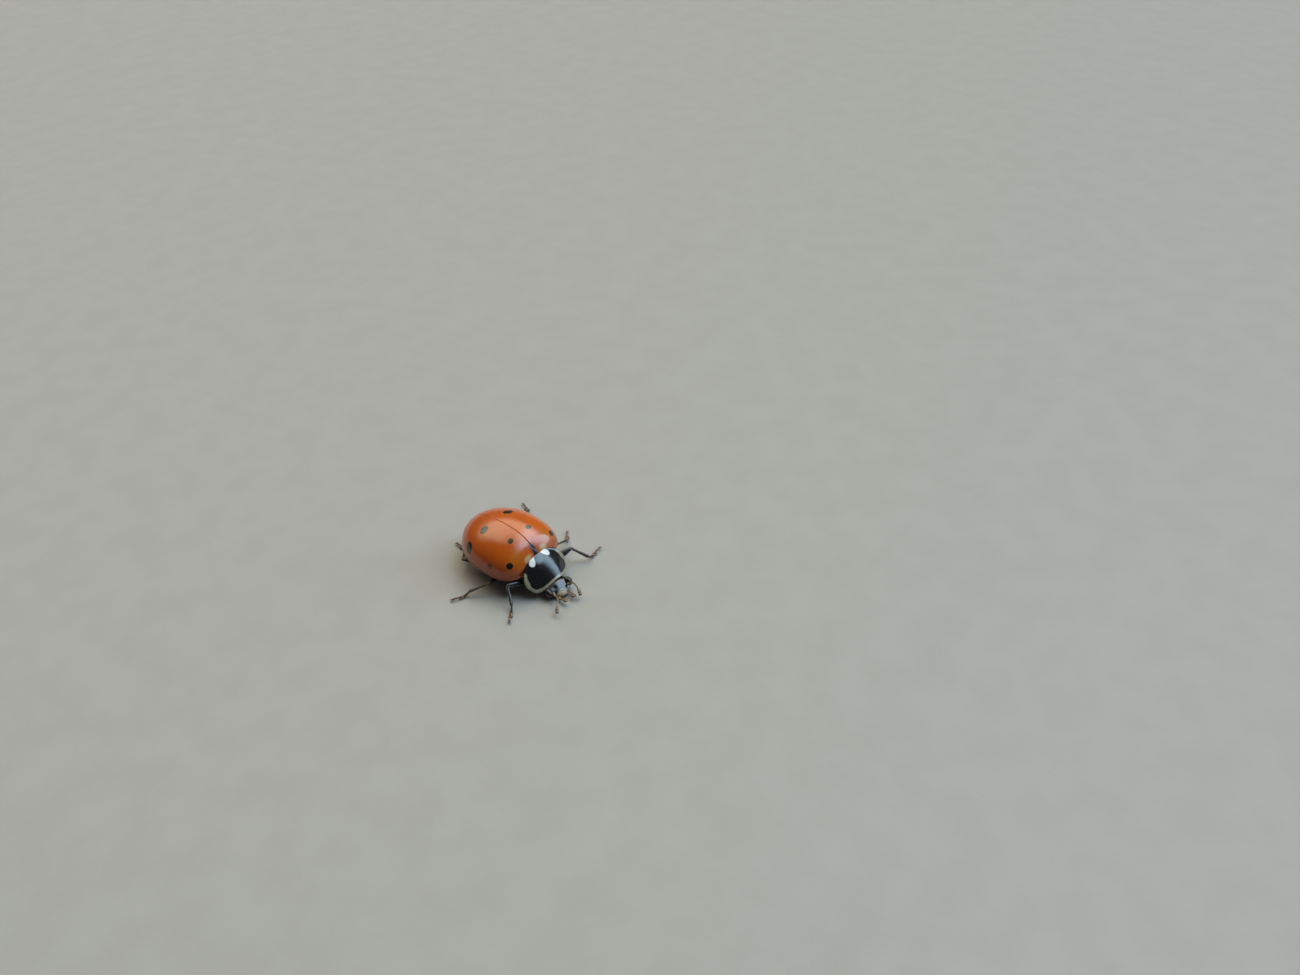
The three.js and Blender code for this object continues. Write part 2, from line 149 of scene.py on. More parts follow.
class Limb:
    """A round or flattened tube through stations of x, y, z, half width and half height, with
    rounded ends. up is the side that the half height is measured towards."""

    THINNEST = 0.003

    def __init__(self, stations, up=UP, rows=24, sides=20, power=2.0):
        path = spline(stations, rows)
        self.centres = path[:, :3]
        self.tangents = unit(np.gradient(self.centres, axis=0))
        across = unit(np.cross(self.tangents, up))
        self.axes = np.stack([across, np.cross(across, self.tangents)], 1)
        self.half = np.maximum(path[:, 3:5], self.THINNEST)
        self.section = np.stack(superellipse(turn(sides), power), 1)

    def surface(self):
        """The closed tube. Its value along runs from 0 to 1."""
        rows, sides = len(self.centres), len(self.section)
        caps = 5
        shares = np.sin(np.linspace(0.08, 1, caps + 1) * np.pi / 2)[:-1]
        lifts = np.sqrt(1 - shares**2)

        def ring(i, share=1.0, forward=0.0):
            spread = self.section * self.half[i] * share @ self.axes[i]
            return self.centres[i] + self.tangents[i] * forward * self.half[i].min() + spread

        rings = [ring(0, s, -e) for s, e in zip(shares, lifts)]
        rings += [ring(i) for i in range(rows)]
        rings += [ring(rows - 1, s, e) for s, e in zip(shares[::-1], lifts[::-1])]
        along = np.concatenate([np.zeros(caps), np.linspace(0, 1, rows), np.ones(caps)])
        return loft(rings, along=np.concatenate([np.repeat(along, sides), [0, 1]]))

    def at(self, along, angle):
        """The surface point, the outward and the forward direction at shares along and angles round."""
        i = np.clip((along * (len(self.centres) - 1)).round().astype(int), 0, len(self.centres) - 1)
        way = np.stack([np.cos(angle), np.sin(angle)], 1)
        outward, spread = (np.einsum("nk,nkc->nc", v, self.axes[i]) for v in (way, way * self.half[i]))
        return self.centres[i] + spread, outward, self.tangents[i]


def joined(limbs, run_on=False):
    """Limbs in one shape. Their value along runs on through them all, or starts anew at each."""
    shape = Shape()
    for number, limb in enumerate(limbs):
        part = limb.surface()
        if run_on:
            part.values["along"] = (number + part.values["along"]) / len(limbs)
        shape.add(part)
    return shape


BRISTLE_BEND = 0.35  # how far the outer half leans on towards the limb's end
BRISTLE_ROOT = 0.12  # the share of its length that is sunk into the limb
BRISTLE_FACES = [(0, 2, 1), (0, 1, 4, 3), (1, 2, 5, 4), (2, 0, 3, 5), (3, 4, 6), (4, 5, 6), (5, 3, 6)]
BRISTLE_PATCH = [(0, 0), (1, 0), (0.5, 0.3), (0.1, 0.6), (0.9, 0.6), (0.5, 0.7), (0.5, 1)]
PATCH_SIZE = 0.003


def bristles(shape, limb, count, length, lift, lane, angles=(0, 2 * np.pi), shares=(0.06, 0.97),
             columns=8, width=0.0032):
    """Thin bent spikes over a limb. Each has its OFBake patch where its root lies on the unwrapped
    limb, which fills one lane of the map's columns."""
    along = rng.uniform(*shares, count)
    angle = rng.uniform(*angles, count)
    roots, outward, forward = limb.at(along, angle)
    length = length * rng.uniform(0.7, 1.2, count)[:, None]
    lean = unit(outward * lift + forward * (1 - lift))
    across = unit(np.cross(lean, outward + 1e-3))
    beside = np.cross(across, lean)
    middle = roots + lean * length * 0.5
    corners = []
    for centre, radius in ((roots - lean * length * BRISTLE_ROOT, width), (middle, width * 0.7)):
        for way in turn(3):
            corners.append(centre + radius * (np.cos(way) * across + np.sin(way) * beside))
    corners.append(middle + unit(lean + forward * BRISTLE_BEND) * length * 0.5)
    size = len(BRISTLE_PATCH)
    faces = [tuple(size * k + corner for corner in face) for k in range(count) for face in BRISTLE_FACES]
    shape.add(Shape(np.stack(corners, 1), faces, along=np.tile([0, 0, 0, 0.5, 0.5, 0.5, 1], count)))
    across_lane = 0.05 + 0.85 * (angle % (2 * np.pi)) / (2 * np.pi)
    spots = np.stack([(lane + across_lane) / columns, 0.02 + 0.95 * along], 1)
    uv = (spots[:, None, :] + PATCH_SIZE * np.array(BRISTLE_PATCH)).reshape(-1, 2)
    shape.uv = uv if shape.uv is None else np.vstack([shape.uv, uv])


def placed(name, data):
    """A new object in the scene."""
    made = bpy.data.objects.new(name, data)
    bpy.context.scene.collection.objects.link(made)
    return made


def piece(name, shape, look, slot, *nodes, sharp=50):
    """Makes the Blender object of a shape, riding on the model and standing for its CAD nodes."""
    mesh = bpy.data.meshes.new(name)
    mesh.from_pydata((shape.points * MM + np.array(ORIGIN)).tolist(), [], shape.faces)
    for key, values in shape.values.items():
        mesh.attributes.new(key, "FLOAT", "POINT").data.foreach_set("value", values)
    if shape.uv is not None:
        corners = np.zeros(len(mesh.loops), int)
        mesh.loops.foreach_get("vertex_index", corners)
        mesh.uv_layers.new(name="OFBake").uv.foreach_set("vector", shape.uv[corners].ravel())
    work = bmesh.new()
    work.from_mesh(mesh)
    bmesh.ops.recalc_face_normals(work, faces=work.faces)
    work.to_mesh(mesh)
    work.free()
    mesh.shade_smooth()
    mesh.set_sharp_from_angle(angle=math.radians(sharp))
    mesh.materials.append(looks[look])
    made = placed(name, mesh)
    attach(made, "root")
    if nodes:
        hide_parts(*nodes)


# ---------- looks ----------
class Nodes:
    """Short ways to wire the nodes of a tree."""

    def __init__(self, tree):
        self.tree = tree

    def node(self, kind, inputs=(), **settings):
        made = self.tree.nodes.new(kind)
        for key, value in settings.items():
            setattr(made, key, value)
        for socket, value in dict(inputs).items():
            self.put(made.inputs[socket], value)
        return made

    def put(self, socket, value):
        """Links the socket to another one, or sets its value. None leaves it alone."""
        if isinstance(value, bpy.types.NodeSocket):
            self.tree.links.new(value, socket)
        elif value is not None:
            socket.default_value = value

    def math(self, operation, a, b=0.0):
        return self.node("ShaderNodeMath", {0: a, 1: b}, operation=operation).outputs[0]

    def plus(self, a, b):
        return self.math("ADD", a, b)

    def minus(self, a, b):
        return self.math("SUBTRACT", a, b)

    def times(self, a, b):
        return self.math("MULTIPLY", a, b)

    def vector(self, operation, *values):
        """The node of a sum of vectors: output 0 is its vector, and output 1 its value."""
        return self.node("ShaderNodeVectorMath", dict(enumerate(values)), operation=operation).outputs

    def split(self, point):
        return self.node("ShaderNodeSeparateXYZ", {0: point}).outputs[:3]

    def join(self, x, y, z=0.0):
        return self.node("ShaderNodeCombineXYZ", {0: x, 1: y, 2: z}).outputs[0]

    def fitted(self, point, origin, rotation, scale):
        """The point seen from an origin, in turned axes and units of its own."""
        inputs = {"Vector": point, "Location": origin, "Rotation": rotation, "Scale": scale}
        return self.node("ShaderNodeMapping", inputs, vector_type="TEXTURE").outputs[0]

    def step(self, value, low, high, start=0.0, end=1.0):
        """start below low, end above high, smooth between."""
        inputs = {"Value": value, "From Min": low, "From Max": high, "To Min": start, "To Max": end}
        return self.node("ShaderNodeMapRange", inputs, interpolation_type="SMOOTHSTEP").outputs[0]

    def mix(self, share, a, b):
        return self.node("ShaderNodeMix", {0: share, 6: a, 7: b}, data_type="RGBA").outputs[2]

    def blend(self, a, b, *limits):
        """Colour a, and b in it where a step of a value says so."""
        return self.mix(self.step(*limits), a, b)

    def share(self, name):
        return self.node("ShaderNodeAttribute", attribute_name=name).outputs["Fac"]

    def bump(self, height, depth_mm, strength, under=None):
        inputs = {"Height": height, "Distance": depth_mm * MM, "Strength": strength, "Normal": under}
        return self.node("ShaderNodeBump", inputs).outputs[0]


class Look(Nodes):
    """A Principled material. Its noise and pits go by the place in millimetres in the beetle's frame."""

    def __init__(self, name, **settings):
        self.material = bpy.data.materials.new(name)
        self.material.use_nodes = True
        super().__init__(self.material.node_tree)
        self.shader = self.tree.nodes["Principled BSDF"]
        for socket, value in settings.items():
            self.shader.inputs[socket.replace("_", " ")].default_value = value
        self.place = self.seen_from((0, 0, 0), 0)

    def seen_from(self, origin, turned):
        """The point in millimetres, from an origin in the beetle's frame and with its axes turned."""
        point = self.node("ShaderNodeTexCoord").outputs["Object"]
        return self.fitted(point, ORIGIN + Vector(origin) * MM, (0, 0, turned), (MM, MM, MM))

    def noise(self, scale, detail=3, output=0):
        inputs = {"Vector": self.place, "Scale": scale, "Detail": detail}
        return self.node("ShaderNodeTexNoise", inputs).outputs[output]

    def pits(self, scale, low, high, stirred=0, reach=0.05):
        """A pit in each cell: 0 up to low from its middle, and 1 beyond high. Stirred pits keep no rows."""
        point = self.place
        if stirred:
            shift = self.noise(stirred, 2, "Color")
            point = self.vector("MULTIPLY_ADD", shift, (reach,) * 3, point)[0]
        cells = self.node("ShaderNodeTexVoronoi", {"Vector": point, "Scale": scale})
        return self.step(cells.outputs["Distance"], low, high)

    def finish(self, colour, roughness=None, normal=None):
        values = {"Base Color": colour, "Roughness": roughness, "Normal": normal, "Coat Normal": normal}
        for socket, value in values.items():
            self.put(self.shader.inputs[socket], value)
        return self.material


def rgb(r, g, b):
    return (r, g, b, 1.0)


ORANGE = rgb(0.54, 0.092, 0.0015)
DEEP_ORANGE = rgb(0.33, 0.036, 0.0015)
YELLOW_ORANGE = rgb(0.52, 0.16, 0.004)
RIM_TONE = rgb(0.36, 0.12, 0.04)
CREAM = rgb(0.62, 0.47, 0.23)
# The next two: the cream-white of the pronotum's border and the face, painted far darker than the white
# dashes as painted shade over their real pale colour.
SHADED_PALE = rgb(0.245, 0.235, 0.165)
DUSKY_SHADED_PALE = rgb(0.2, 0.18, 0.12)
WHITE = rgb(0.85, 0.87, 0.84)
BLACK = rgb(0.003, 0.003, 0.0035)
SOFT_BLACK = rgb(0.009, 0.008, 0.0075)
PURPLE_BLACK = rgb(0.02, 0.012, 0.014)
DARK_BROWN = rgb(0.05, 0.018, 0.009)
RED_BROWN = rgb(0.16, 0.05, 0.02)
TAN = rgb(0.28, 0.185, 0.09)
DARK_TAN = rgb(0.13, 0.075, 0.035)

POLISH = {"Specular_IOR_Level": 0.15, "Coat_Weight": 1.0, "Coat_IOR": 1.58}


# ---------- wing cases ----------
FRONT_POWER, REAR_POWER = 2.965, 2.092
MEAN_LENGTH, LENGTH_SKEW = 2.36, 0.40
ARCH = 2.1


def case_plan(angles, reach):
    """x and y of the wing cases at angles from the left side, and a share of the way to the margin."""
    rearward = 0.5 + 0.5 * ease(np.sin(angles))
    power = FRONT_POWER + (REAR_POWER - FRONT_POWER) * rearward
    power = 2 + (power - 2) * min(reach, 1) ** 2
    across, along = superellipse(angles, power)
    along = along * reach
    return HALF_WIDTH * reach * across, along * (MEAN_LENGTH + LENGTH_SKEW * ease(along))


def dome_z(x, y):
    """Height of the wing cases over a place in plan, found by walking out along its angle."""
    low, high = 0.0, 1.0
    angle = math.atan2(y / (MEAN_LENGTH + LENGTH_SKEW * np.sign(y)), x / HALF_WIDTH)
    for _ in range(30):
        middle = (low + high) / 2
        inside = math.hypot(*case_plan(angle, middle)) < math.hypot(x, y)
        low, high = (middle, high) if inside else (low, middle)
    return MARGIN_Z + DOME_HEIGHT * (1 - low**ARCH) ** (1 / ARCH)


CASE_COLUMNS, CASE_ROWS = 145, 64
CASE_WALL, CASE_GAP = 0.11, 0.003
CASE_TOP = 0.003  # the angle, from straight up, at which the dome starts
SHOULDER = (1.36, -1.42, 0.42, 0.035)  # x, y, width and swell of the bulge over each shoulder
SUTURE = (0.018, 0.02)  # depth and width of the groove where the two cases meet
GROOVE = (0.02, 0.11, 0.07)  # depth of the groove above the margin, its rise over it, and width
# The bead of the margin and the fold inside it: shift outwards and z from the margin.
BEAD = [(0.004, 0.02), (0.022, 0), (0.03, -0.025), (0.018, -0.05), (-0.01, -0.058)]
FOLD = [(-0.04, -0.05), (-0.14, -0.035), (-0.25, 0), (-0.31, 0.04), (-0.33, 0.1)]


def case_profile():
    """The outside and the inside of a wing case's section, from its top out to the margin. Each row
    has its reach, shift outwards and height over the margin."""

    def arch(angles, height):
        return zip(np.sin(angles) ** (2 / ARCH), np.cos(angles) ** (2 / ARCH) * height)

    near_top = np.linspace(CASE_TOP, 0.05, 9)[:-1]
    angles = np.concatenate([near_top, np.linspace(0.05, np.pi / 2 - 0.03, CASE_ROWS)])
    depth, middle, width = GROOVE
    outer = [(r, -depth * hill(z - middle, width), z) for r, z in arch(angles, DOME_HEIGHT)]
    outer += [(1, *place) for place in BEAD]
    angles = np.linspace(CASE_TOP, np.pi / 2 - 0.2, len(outer) - len(FOLD))
    inner = [(r, -CASE_WALL * r**4 - 0.22 * r**12, z) for r, z in arch(angles, DOME_HEIGHT - CASE_WALL)]
    inner += [(1, *place) for place in FOLD[::-1]]
    return outer, inner


def case_row(reach, out, z):
    angles = np.pi / 2 * np.sin(np.pi / 2 * np.linspace(-1, 1, CASE_COLUMNS))
    x, y = case_plan(angles, reach)
    return rows_of(x + out * np.cos(angles), y + out * np.sin(angles), MARGIN_Z + z)


def wing_case(side):
    outer, inner = case_profile()
    rows = [case_row(*station) for station in outer]
    x, y, width, swell = SHOULDER
    for row in rows:
        bulge = swell * hill(np.hypot(row[:, 0] - x, row[:, 1] - y), width)
        row[:, :2] *= 1 + bulge[:, None] / 2
        row[:, 2] += bulge * (row[:, 2] - MARGIN_Z)
        row[:, 2] -= SUTURE[0] * hill(row[:, 0], SUTURE[1])
    rows += [case_row(*station) for station in inner[::-1]]
    grid = np.array(rows) + (CASE_GAP, 0, 0)
    half, count, columns = len(outer), len(rows), CASE_COLUMNS
    faces = []
    for k in range(count):
        a, b = k * columns, (k + 1) % count * columns
        faces += [(a + j, a + j + 1, b + j + 1, b + j) for j in range(columns - 1)]
    for k in range(half - 1):
        wall = (k, k + 1, count - 2 - k, count - 1 - k)
        faces += [tuple(row * columns + j for row in wall) for j in (0, columns - 1)]
    rim = np.zeros((count, columns))
    rim[half - len(BEAD) : half + len(FOLD)] = 1
    return Shape(grid * (side, 1, 1), faces, rim=rim.ravel())


# Each spot: its place in plan, the way its long axis lies, and its half length and half width.
SPOTS = [
    ((0.61, -0.76), (1, 0, 0), 0.15, 0.14),
    ((1.42, -1.42), (0.4, 0.4, -0.8), 0.165, 0.155),
    ((0.82, 0.86), (0.9, -0.25, -0.2), 0.255, 0.2),
    ((1.72, 1.1), (0.39, -0.3, -0.48), 0.3, 0.195),
]
FAINT_SPOT = ((1.93, -0.52), (0, 0.2, 1), 0.17, 0.13)
SUTURE_SPOT = ((0.0, -1.62), (0, 1, 0.5), 0.32, 0.14)
PALE_PATCH = ((0.52, -1.76), (1, -0.12, 0), 0.26, 0.12)
WARM_ZONE = ((1.0, -1.5), (1, 0, 0), 0.75, 0.6)
SPOT_RAGGED = 0.34


def distance_to(look, point, spot):
    """1 on the edge of a spot, less inside it."""
    (x, y), way, *half = spot
    rotation = Vector(way).to_track_quat("X", "Z").to_euler()
    local = look.fitted(point, (x, y, dome_z(x, y)), rotation, (*half, half[0]))
    return look.vector("LENGTH", local)[1]


def wing_case_look():
    look = Look("wing_case", Roughness=0.36, Coat_Roughness=0.13, Subsurface_Weight=0.1,
                Subsurface_Radius=(1.0, 0.25, 0.05), Subsurface_Scale=0.12 * MM, **POLISH)
    x, y, height = look.split(look.place)
    point = look.join(look.math("ABSOLUTE", x), y, height)

    broad = look.noise(0.8)
    fine = look.noise(14)
    # Painted shade: towards the margin the colour darkens to deep orange by height alone; the broad noise
    # adds real tone at random.
    low = look.step(height, MARGIN_Z, MARGIN_Z + 1.0, 0.66, 0)
    painted_shade_and_tone = look.plus(low, look.step(broad, 0.35, 0.7, -0.1, 0.3))
    colour = look.mix(painted_shade_and_tone, ORANGE, DEEP_ORANGE)
    warm = look.step(distance_to(look, point, WARM_ZONE), 0.2, 1.1, 0.42, 0)
    colour = look.mix(warm, colour, YELLOW_ORANGE)
    colour = look.blend(colour, YELLOW_ORANGE, fine, 0.35, 0.75, 0.0, 0.16)
    patch = look.plus(distance_to(look, point, PALE_PATCH), look.times(fine, 0.3))
    colour = look.blend(colour, CREAM, patch, 0.4, 1.5, 0.8, 0)

    distance = distance_to(look, point, SPOTS[0])
    for spot in SPOTS[1:]:
        distance = look.math("MINIMUM", distance, distance_to(look, point, spot))
    ragged = look.times(look.minus(look.noise(9), 0.5), SPOT_RAGGED)
    distance = look.plus(distance, ragged)
    colour = look.blend(colour, YELLOW_ORANGE, distance, 1.1, 1.6, 0.3, 0)
    colour = look.blend(colour, BLACK, distance, 0.9, 1.14, 1, 0)
    colour = look.blend(colour, PURPLE_BLACK, distance_to(look, point, SUTURE_SPOT), 0.5, 1.5, 0.95, 0)
    colour = look.blend(colour, DARK_BROWN, distance_to(look, point, FAINT_SPOT), 0.4, 1.3, 0.78, 0)
    colour = look.mix(look.times(look.share("rim"), 0.7), colour, RIM_TONE)

    pits = look.pits(30, 0.06, 0.34, 4, 0.06)
    normal = look.bump(pits, 0.0025, 0.17, look.bump(look.noise(2.2, 2), 0.03, 0.2))
    return look.finish(colour, look.step(fine, 0.3, 0.7, 0.3, 0.42), normal)


# ---------- pronotum and scutellum ----------
PRONOTUM_MIDDLE = (-2.36, 1.205)
PRONOTUM_HALF = (1.24, 0.62)
PRONOTUM_TAPER, PRONOTUM_SWEEP = 0.28, 0.25
PRONOTUM_SLOPE, PRONOTUM_BEND = 0.534, 0.07
PRONOTUM_ARCH, ARCH_TAPER, ARCH_POWER = 0.635, -0.06, 2.2
PRONOTUM_CROWN = 0.09  # how much fuller the middle is than its edges ask for
PRONOTUM_POWER, PRONOTUM_THICKNESS = 2.8, 0.3
DISC_SIZE = (1.38, 0.62)  # millimetres across and along for one unit of the disc's own measures
# The rounded edge, from the top down: share of the disc and lift.
PRONOTUM_EDGE = [(1.0, 0.022), (1.008, 0), (1.008, -0.03), (0.998, -0.055), (0.975, -0.07)]


def pronotum_at(across, along):
    """The top of the pronotum: across and along run from -1 to 1, along is 1 at the front."""
    arch = PRONOTUM_ARCH + ARCH_TAPER * along
    sweep = PRONOTUM_SWEEP / 2 * across**2 * (1 - along)
    x = across * (PRONOTUM_HALF[0] - PRONOTUM_TAPER * along)
    y = PRONOTUM_MIDDLE[0] - PRONOTUM_HALF[1] * along - sweep
    fall = PRONOTUM_SLOPE * along + PRONOTUM_BEND * along**2 + arch * np.abs(across) ** ARCH_POWER
    crown = PRONOTUM_CROWN * np.clip(1 - across**2, 0, 1) * np.clip(1 - along**2, 0, 1)
    return rows_of(x, y, PRONOTUM_MIDDLE[1] - fall + crown)


def under_pronotum(points):
    """The height of the pronotum's underside over points in plan."""
    along = np.clip((PRONOTUM_MIDDLE[0] - points[:, 1]) / PRONOTUM_HALF[1], -1, 1)
    across = points[:, 0] / (PRONOTUM_HALF[0] - PRONOTUM_TAPER * along)
    return pronotum_at(across, along)[:, 2] - PRONOTUM_THICKNESS


def pronotum():
    tilt = np.array([0, -0.5, 0.866])
    across, along = superellipse(turn(160), PRONOTUM_POWER)
    rings, disc = [], []
    top = [(share, 0.03 * hill(1 - share, 0.09)) for share in np.linspace(0.01, 0.985, 40)]
    low = PRONOTUM_EDGE[-1][1]
    under = [(s, low - PRONOTUM_THICKNESS * (1 - s) ** 0.6) for s in np.linspace(0.93, 0.05, 14)]
    for share, lift in top + PRONOTUM_EDGE + under:
        rings.append(pronotum_at(across * share, along * share) + tilt * lift)
        disc.append(np.stack([across * share, along * share], 1))
    disc = np.vstack(disc + [np.zeros((2, 2))])
    return loft(rings, across=disc[:, 0], along=disc[:, 1])


DASH_START, DASH_END = (0.12, -0.97), (0.35, -0.65)  # in the disc's own measures
DASH_RADII = (0.05, 0.15)


def pronotum_look():
    look = Look("pronotum", Roughness=0.32, Coat_Roughness=0.1, **POLISH)
    across = look.math("ABSOLUTE", look.share("across"))
    along = look.share("along")
    fine = look.noise(12)

    # The pale border: far out on the disc, but not along the rear edge. It is widest at the sides.
    forward = look.math("MAXIMUM", along, -0.6)
    powers = [look.math("POWER", v, PRONOTUM_POWER) for v in (across, look.math("ABSOLUTE", forward))]
    reach = look.math("POWER", look.plus(*powers), 1 / PRONOTUM_POWER)
    wander = look.minus(look.noise(5, 2), 0.5)
    reach = look.plus(reach, look.times(wander, 0.03))
    edge = look.minus(look.step(along, -0.3, 0.02, 0.85, 0.925), look.step(along, 0.2, 0.8, 0.0, 0.055))
    border = look.step(look.minus(reach, edge), -0.015, 0.02)

    # The two pale dashes, each a tapered capsule that points back to the scutellum.
    start = np.array(DASH_START) * DISC_SIZE
    way = np.array(DASH_END) * DISC_SIZE - start
    x = look.minus(look.times(across, DISC_SIZE[0]), start[0])
    y = look.minus(look.times(along, DISC_SIZE[1]), start[1])
    flat, line = look.join(x, y), (way[0], way[1], 0)
    run = look.math("DIVIDE", look.vector("DOT_PRODUCT", flat, line)[1], float(way @ way))
    run = look.step(run, 0.0, 1.0)
    nearest = look.vector("MULTIPLY", line, look.join(run, run))[0]
    gap = look.vector("LENGTH", look.vector("SUBTRACT", flat, nearest)[0])[1]
    radius = look.step(run, 0.0, 1.0, *DASH_RADII)
    gap = look.minus(gap, look.times(radius, look.step(fine, 0.2, 0.8, 0.96, 1.04)))
    dash = look.step(gap, -0.03, 0.02, 1, 0)

    colour = look.blend(BLACK, SOFT_BLACK, fine, 0.3, 0.8)
    # The border's cream-white is painted dark grey-olive here: painted shade over its real pale colour.
    pale = look.blend(SHADED_PALE, CREAM, look.noise(5), 0.3, 0.75, 0.0, 0.2)
    colour = look.mix(border, colour, pale)
    colour = look.mix(dash, colour, WHITE)
    pits = look.pits(38, 0.06, 0.36, 5)
    normal = look.bump(pits, 0.0022, 0.16, look.bump(look.noise(3, 2), 0.02, 0.25))
    return look.finish(colour, look.step(fine, 0.3, 0.7, 0.26, 0.4), normal)


SCUTELLUM_TIP, SCUTELLUM_FRONT, SCUTELLUM_HALF = -1.6, -1.86, 0.17
SCUTELLUM_BOWS = (0.036, 0.09, 0.09)  # of the front and the two sides
# Share of the outline and height over the wing cases, from the middle out.
SCUTELLUM_RINGS = [(0.05, 0.009), (0.4, 0.008), (0.7, 0.005), (0.9, 0), (1.0, -0.012), (1.0, -0.07)]


def scutellum():
    """A small shield with bowed sides, a little above the wing cases."""
    ends = np.array([(-1, 0), (1, 0), (0, 1), (-1, 0)], float)
    middle = np.array([0, 0.36])
    rings = []
    for share, lift in SCUTELLUM_RINGS:
        ring = []
        for place in np.linspace(0, 3, 24, endpoint=False):
            k = int(place)
            way = ends[k + 1] - ends[k]
            bow = SCUTELLUM_BOWS[k] * math.sin(math.pi * (place - k))
            point = ends[k] + way * (place - k) + np.array([way[1], -way[0]]) * bow
            point = middle + (point - middle) * share
            x = point[0] * SCUTELLUM_HALF
            y = SCUTELLUM_FRONT + point[1] * (SCUTELLUM_TIP - SCUTELLUM_FRONT)
            ring.append((x, y, dome_z(abs(x) + 1e-6, y) + lift))
        rings.append(ring)
    return loft(rings)


def shell_look(name, tones, tone_scale, pits, bump, roughness, **settings):
    """A dark shell of two tones, or of three where the last comes in along the piece."""
    look = Look(name, **settings)
    fine = look.noise(tone_scale)
    colour = look.blend(*tones[:2], fine, 0.3, 0.75)
    if len(tones) > 2:
        colour = look.mix(look.step(look.share("along"), *tones[3:]), colour, tones[2])
    normal = look.bump(look.pits(*pits), *bump)
    return look.finish(colour, look.step(fine, 0.3, 0.7, *roughness), normal)


# ---------- head ----------
NECK = (0, -2.49, 0)
HEAD_TURN = math.radians(-9)
HEAD_MATRIX = Matrix.Translation(NECK) @ Matrix.Rotation(HEAD_TURN, 4, "Z")
# Distance in front of the neck, height, half width and half height.
HEAD_STATIONS = [
    (0.02, 0.36, 0.4, 0.1), (0.1, 0.34, 0.5, 0.14), (0.3, 0.34, 0.61, 0.19),
    (0.45, 0.345, 0.64, 0.21), (0.62, 0.33, 0.655, 0.205), (0.84, 0.265, 0.61, 0.145),
    (0.97, 0.232, 0.49, 0.098), (1.05, 0.222, 0.37, 0.062), (1.1, 0.222, 0.3, 0.03),
]
HEAD_POWER = 1.7
EYE_MIDDLE, EYE_HALF = np.array([0.6, -0.74, 0.355]), np.array([0.19, 0.27, 0.215])
BROW, CLYPEUS = 0.93, 1.015  # the pale face's rear edge and the groove before the mouth, from the neck
CLYPEUS_GROOVE = (0.012, 0.016)  # depth and width
FRONS_DENT = (0.02, 0.72, 0.1, 0.35, 0.16)  # depth, and place and width along and across the head
EYE_RIM = (0.03, 0.06, 0.16)  # height, and place and width round the eye, in shares of its size


def on_head(shape):
    """A shape made in the head's own frame, moved into the beetle's."""
    matrix = np.array(HEAD_MATRIX)
    shape.points = shape.points @ matrix[:3, :3].T + matrix[:3, 3]
    return shape


def head_capsule():
    x, z = superellipse(turn(72), HEAD_POWER)
    top = np.clip(z, 0, 1)
    groove, groove_width = CLYPEUS_GROOVE
    dent, dent_along, along_width, dent_across, across_width = FRONS_DENT
    rim, rim_place, rim_width = EYE_RIM
    rings = []
    for forward, height, half_width, half_height in spline(HEAD_STATIONS, 56):
        lift = half_height * z
        lift = lift - groove * hill(forward - CLYPEUS, groove_width) * top
        dented = hill(forward - dent_along, along_width) * hill(np.abs(x) - dent_across, across_width)
        lift = lift - dent * dented * top
        ring = rows_of(half_width * x, -forward, height + lift)
        to_eye = rows_of(np.abs(ring[:, 0]), ring[:, 1], ring[:, 2]) - EYE_MIDDLE
        around = np.linalg.norm(to_eye / EYE_HALF, axis=1)
        way = unit(ring - (0, -forward, height))
        rings.append(ring + way * rim * hill(around - 1 - rim_place, rim_width)[:, None])
    return on_head(loft(rings))


def head_look():
    look = Look("head", Roughness=0.3, Coat_Roughness=0.1, **POLISH)
    x, y, z = look.split(look.seen_from(NECK, HEAD_TURN))
    fine = look.noise(12)
    # The pale face reaches furthest back in the middle.
    back_edge = look.step(look.math("ABSOLUTE", x), 0.05, 0.36, BROW, BROW + 0.08)
    beyond = look.minus(look.times(y, -1.0), back_edge)
    beyond = look.plus(beyond, look.times(look.minus(fine, 0.5), 0.05))
    pale = look.times(look.step(beyond, -0.015, 0.02), look.step(z, 0.2, 0.3))
    colour = look.blend(BLACK, SOFT_BLACK, fine, 0.3, 0.75)
    # The face's cream-white is painted dark grey-olive: painted shade over its real pale colour.
    colour = look.mix(pale, colour, look.blend(SHADED_PALE, DUSKY_SHADED_PALE, fine, 0.3, 0.7))
    pits = look.pits(34, 0.05, 0.3, 5)
    normal = look.bump(pits, 0.002, 0.25, look.bump(look.noise(9), 0.006, 0.3))
    return look.finish(colour, look.step(fine, 0.3, 0.7, 0.25, 0.42), normal)


LENS_RAISED = 1 / 0.975  # how far the middle of a lens stands over its edges


def compound_eye(side):
    """An egg of facets: each first corner of the sphere is the top of one lens."""
    work = bmesh.new()
    bmesh.ops.create_icosphere(work, subdivisions=4, radius=1)
    lenses = set(work.verts)
    bmesh.ops.subdivide_edges(work, edges=work.edges[:], cuts=2, use_grid_fill=True)
    work.verts.index_update()
    reach = np.array([LENS_RAISED if vertex in lenses else 1.0 for vertex in work.verts]) / LENS_RAISED
    ways = np.array([vertex.co.normalized() for vertex in work.verts])
    faces = [tuple(vertex.index for vertex in face.verts) for face in work.faces]
    work.free()
    points = EYE_MIDDLE * (side, 1, 1) + ways * reach[:, None] * EYE_HALF
    return on_head(Shape(points, faces))


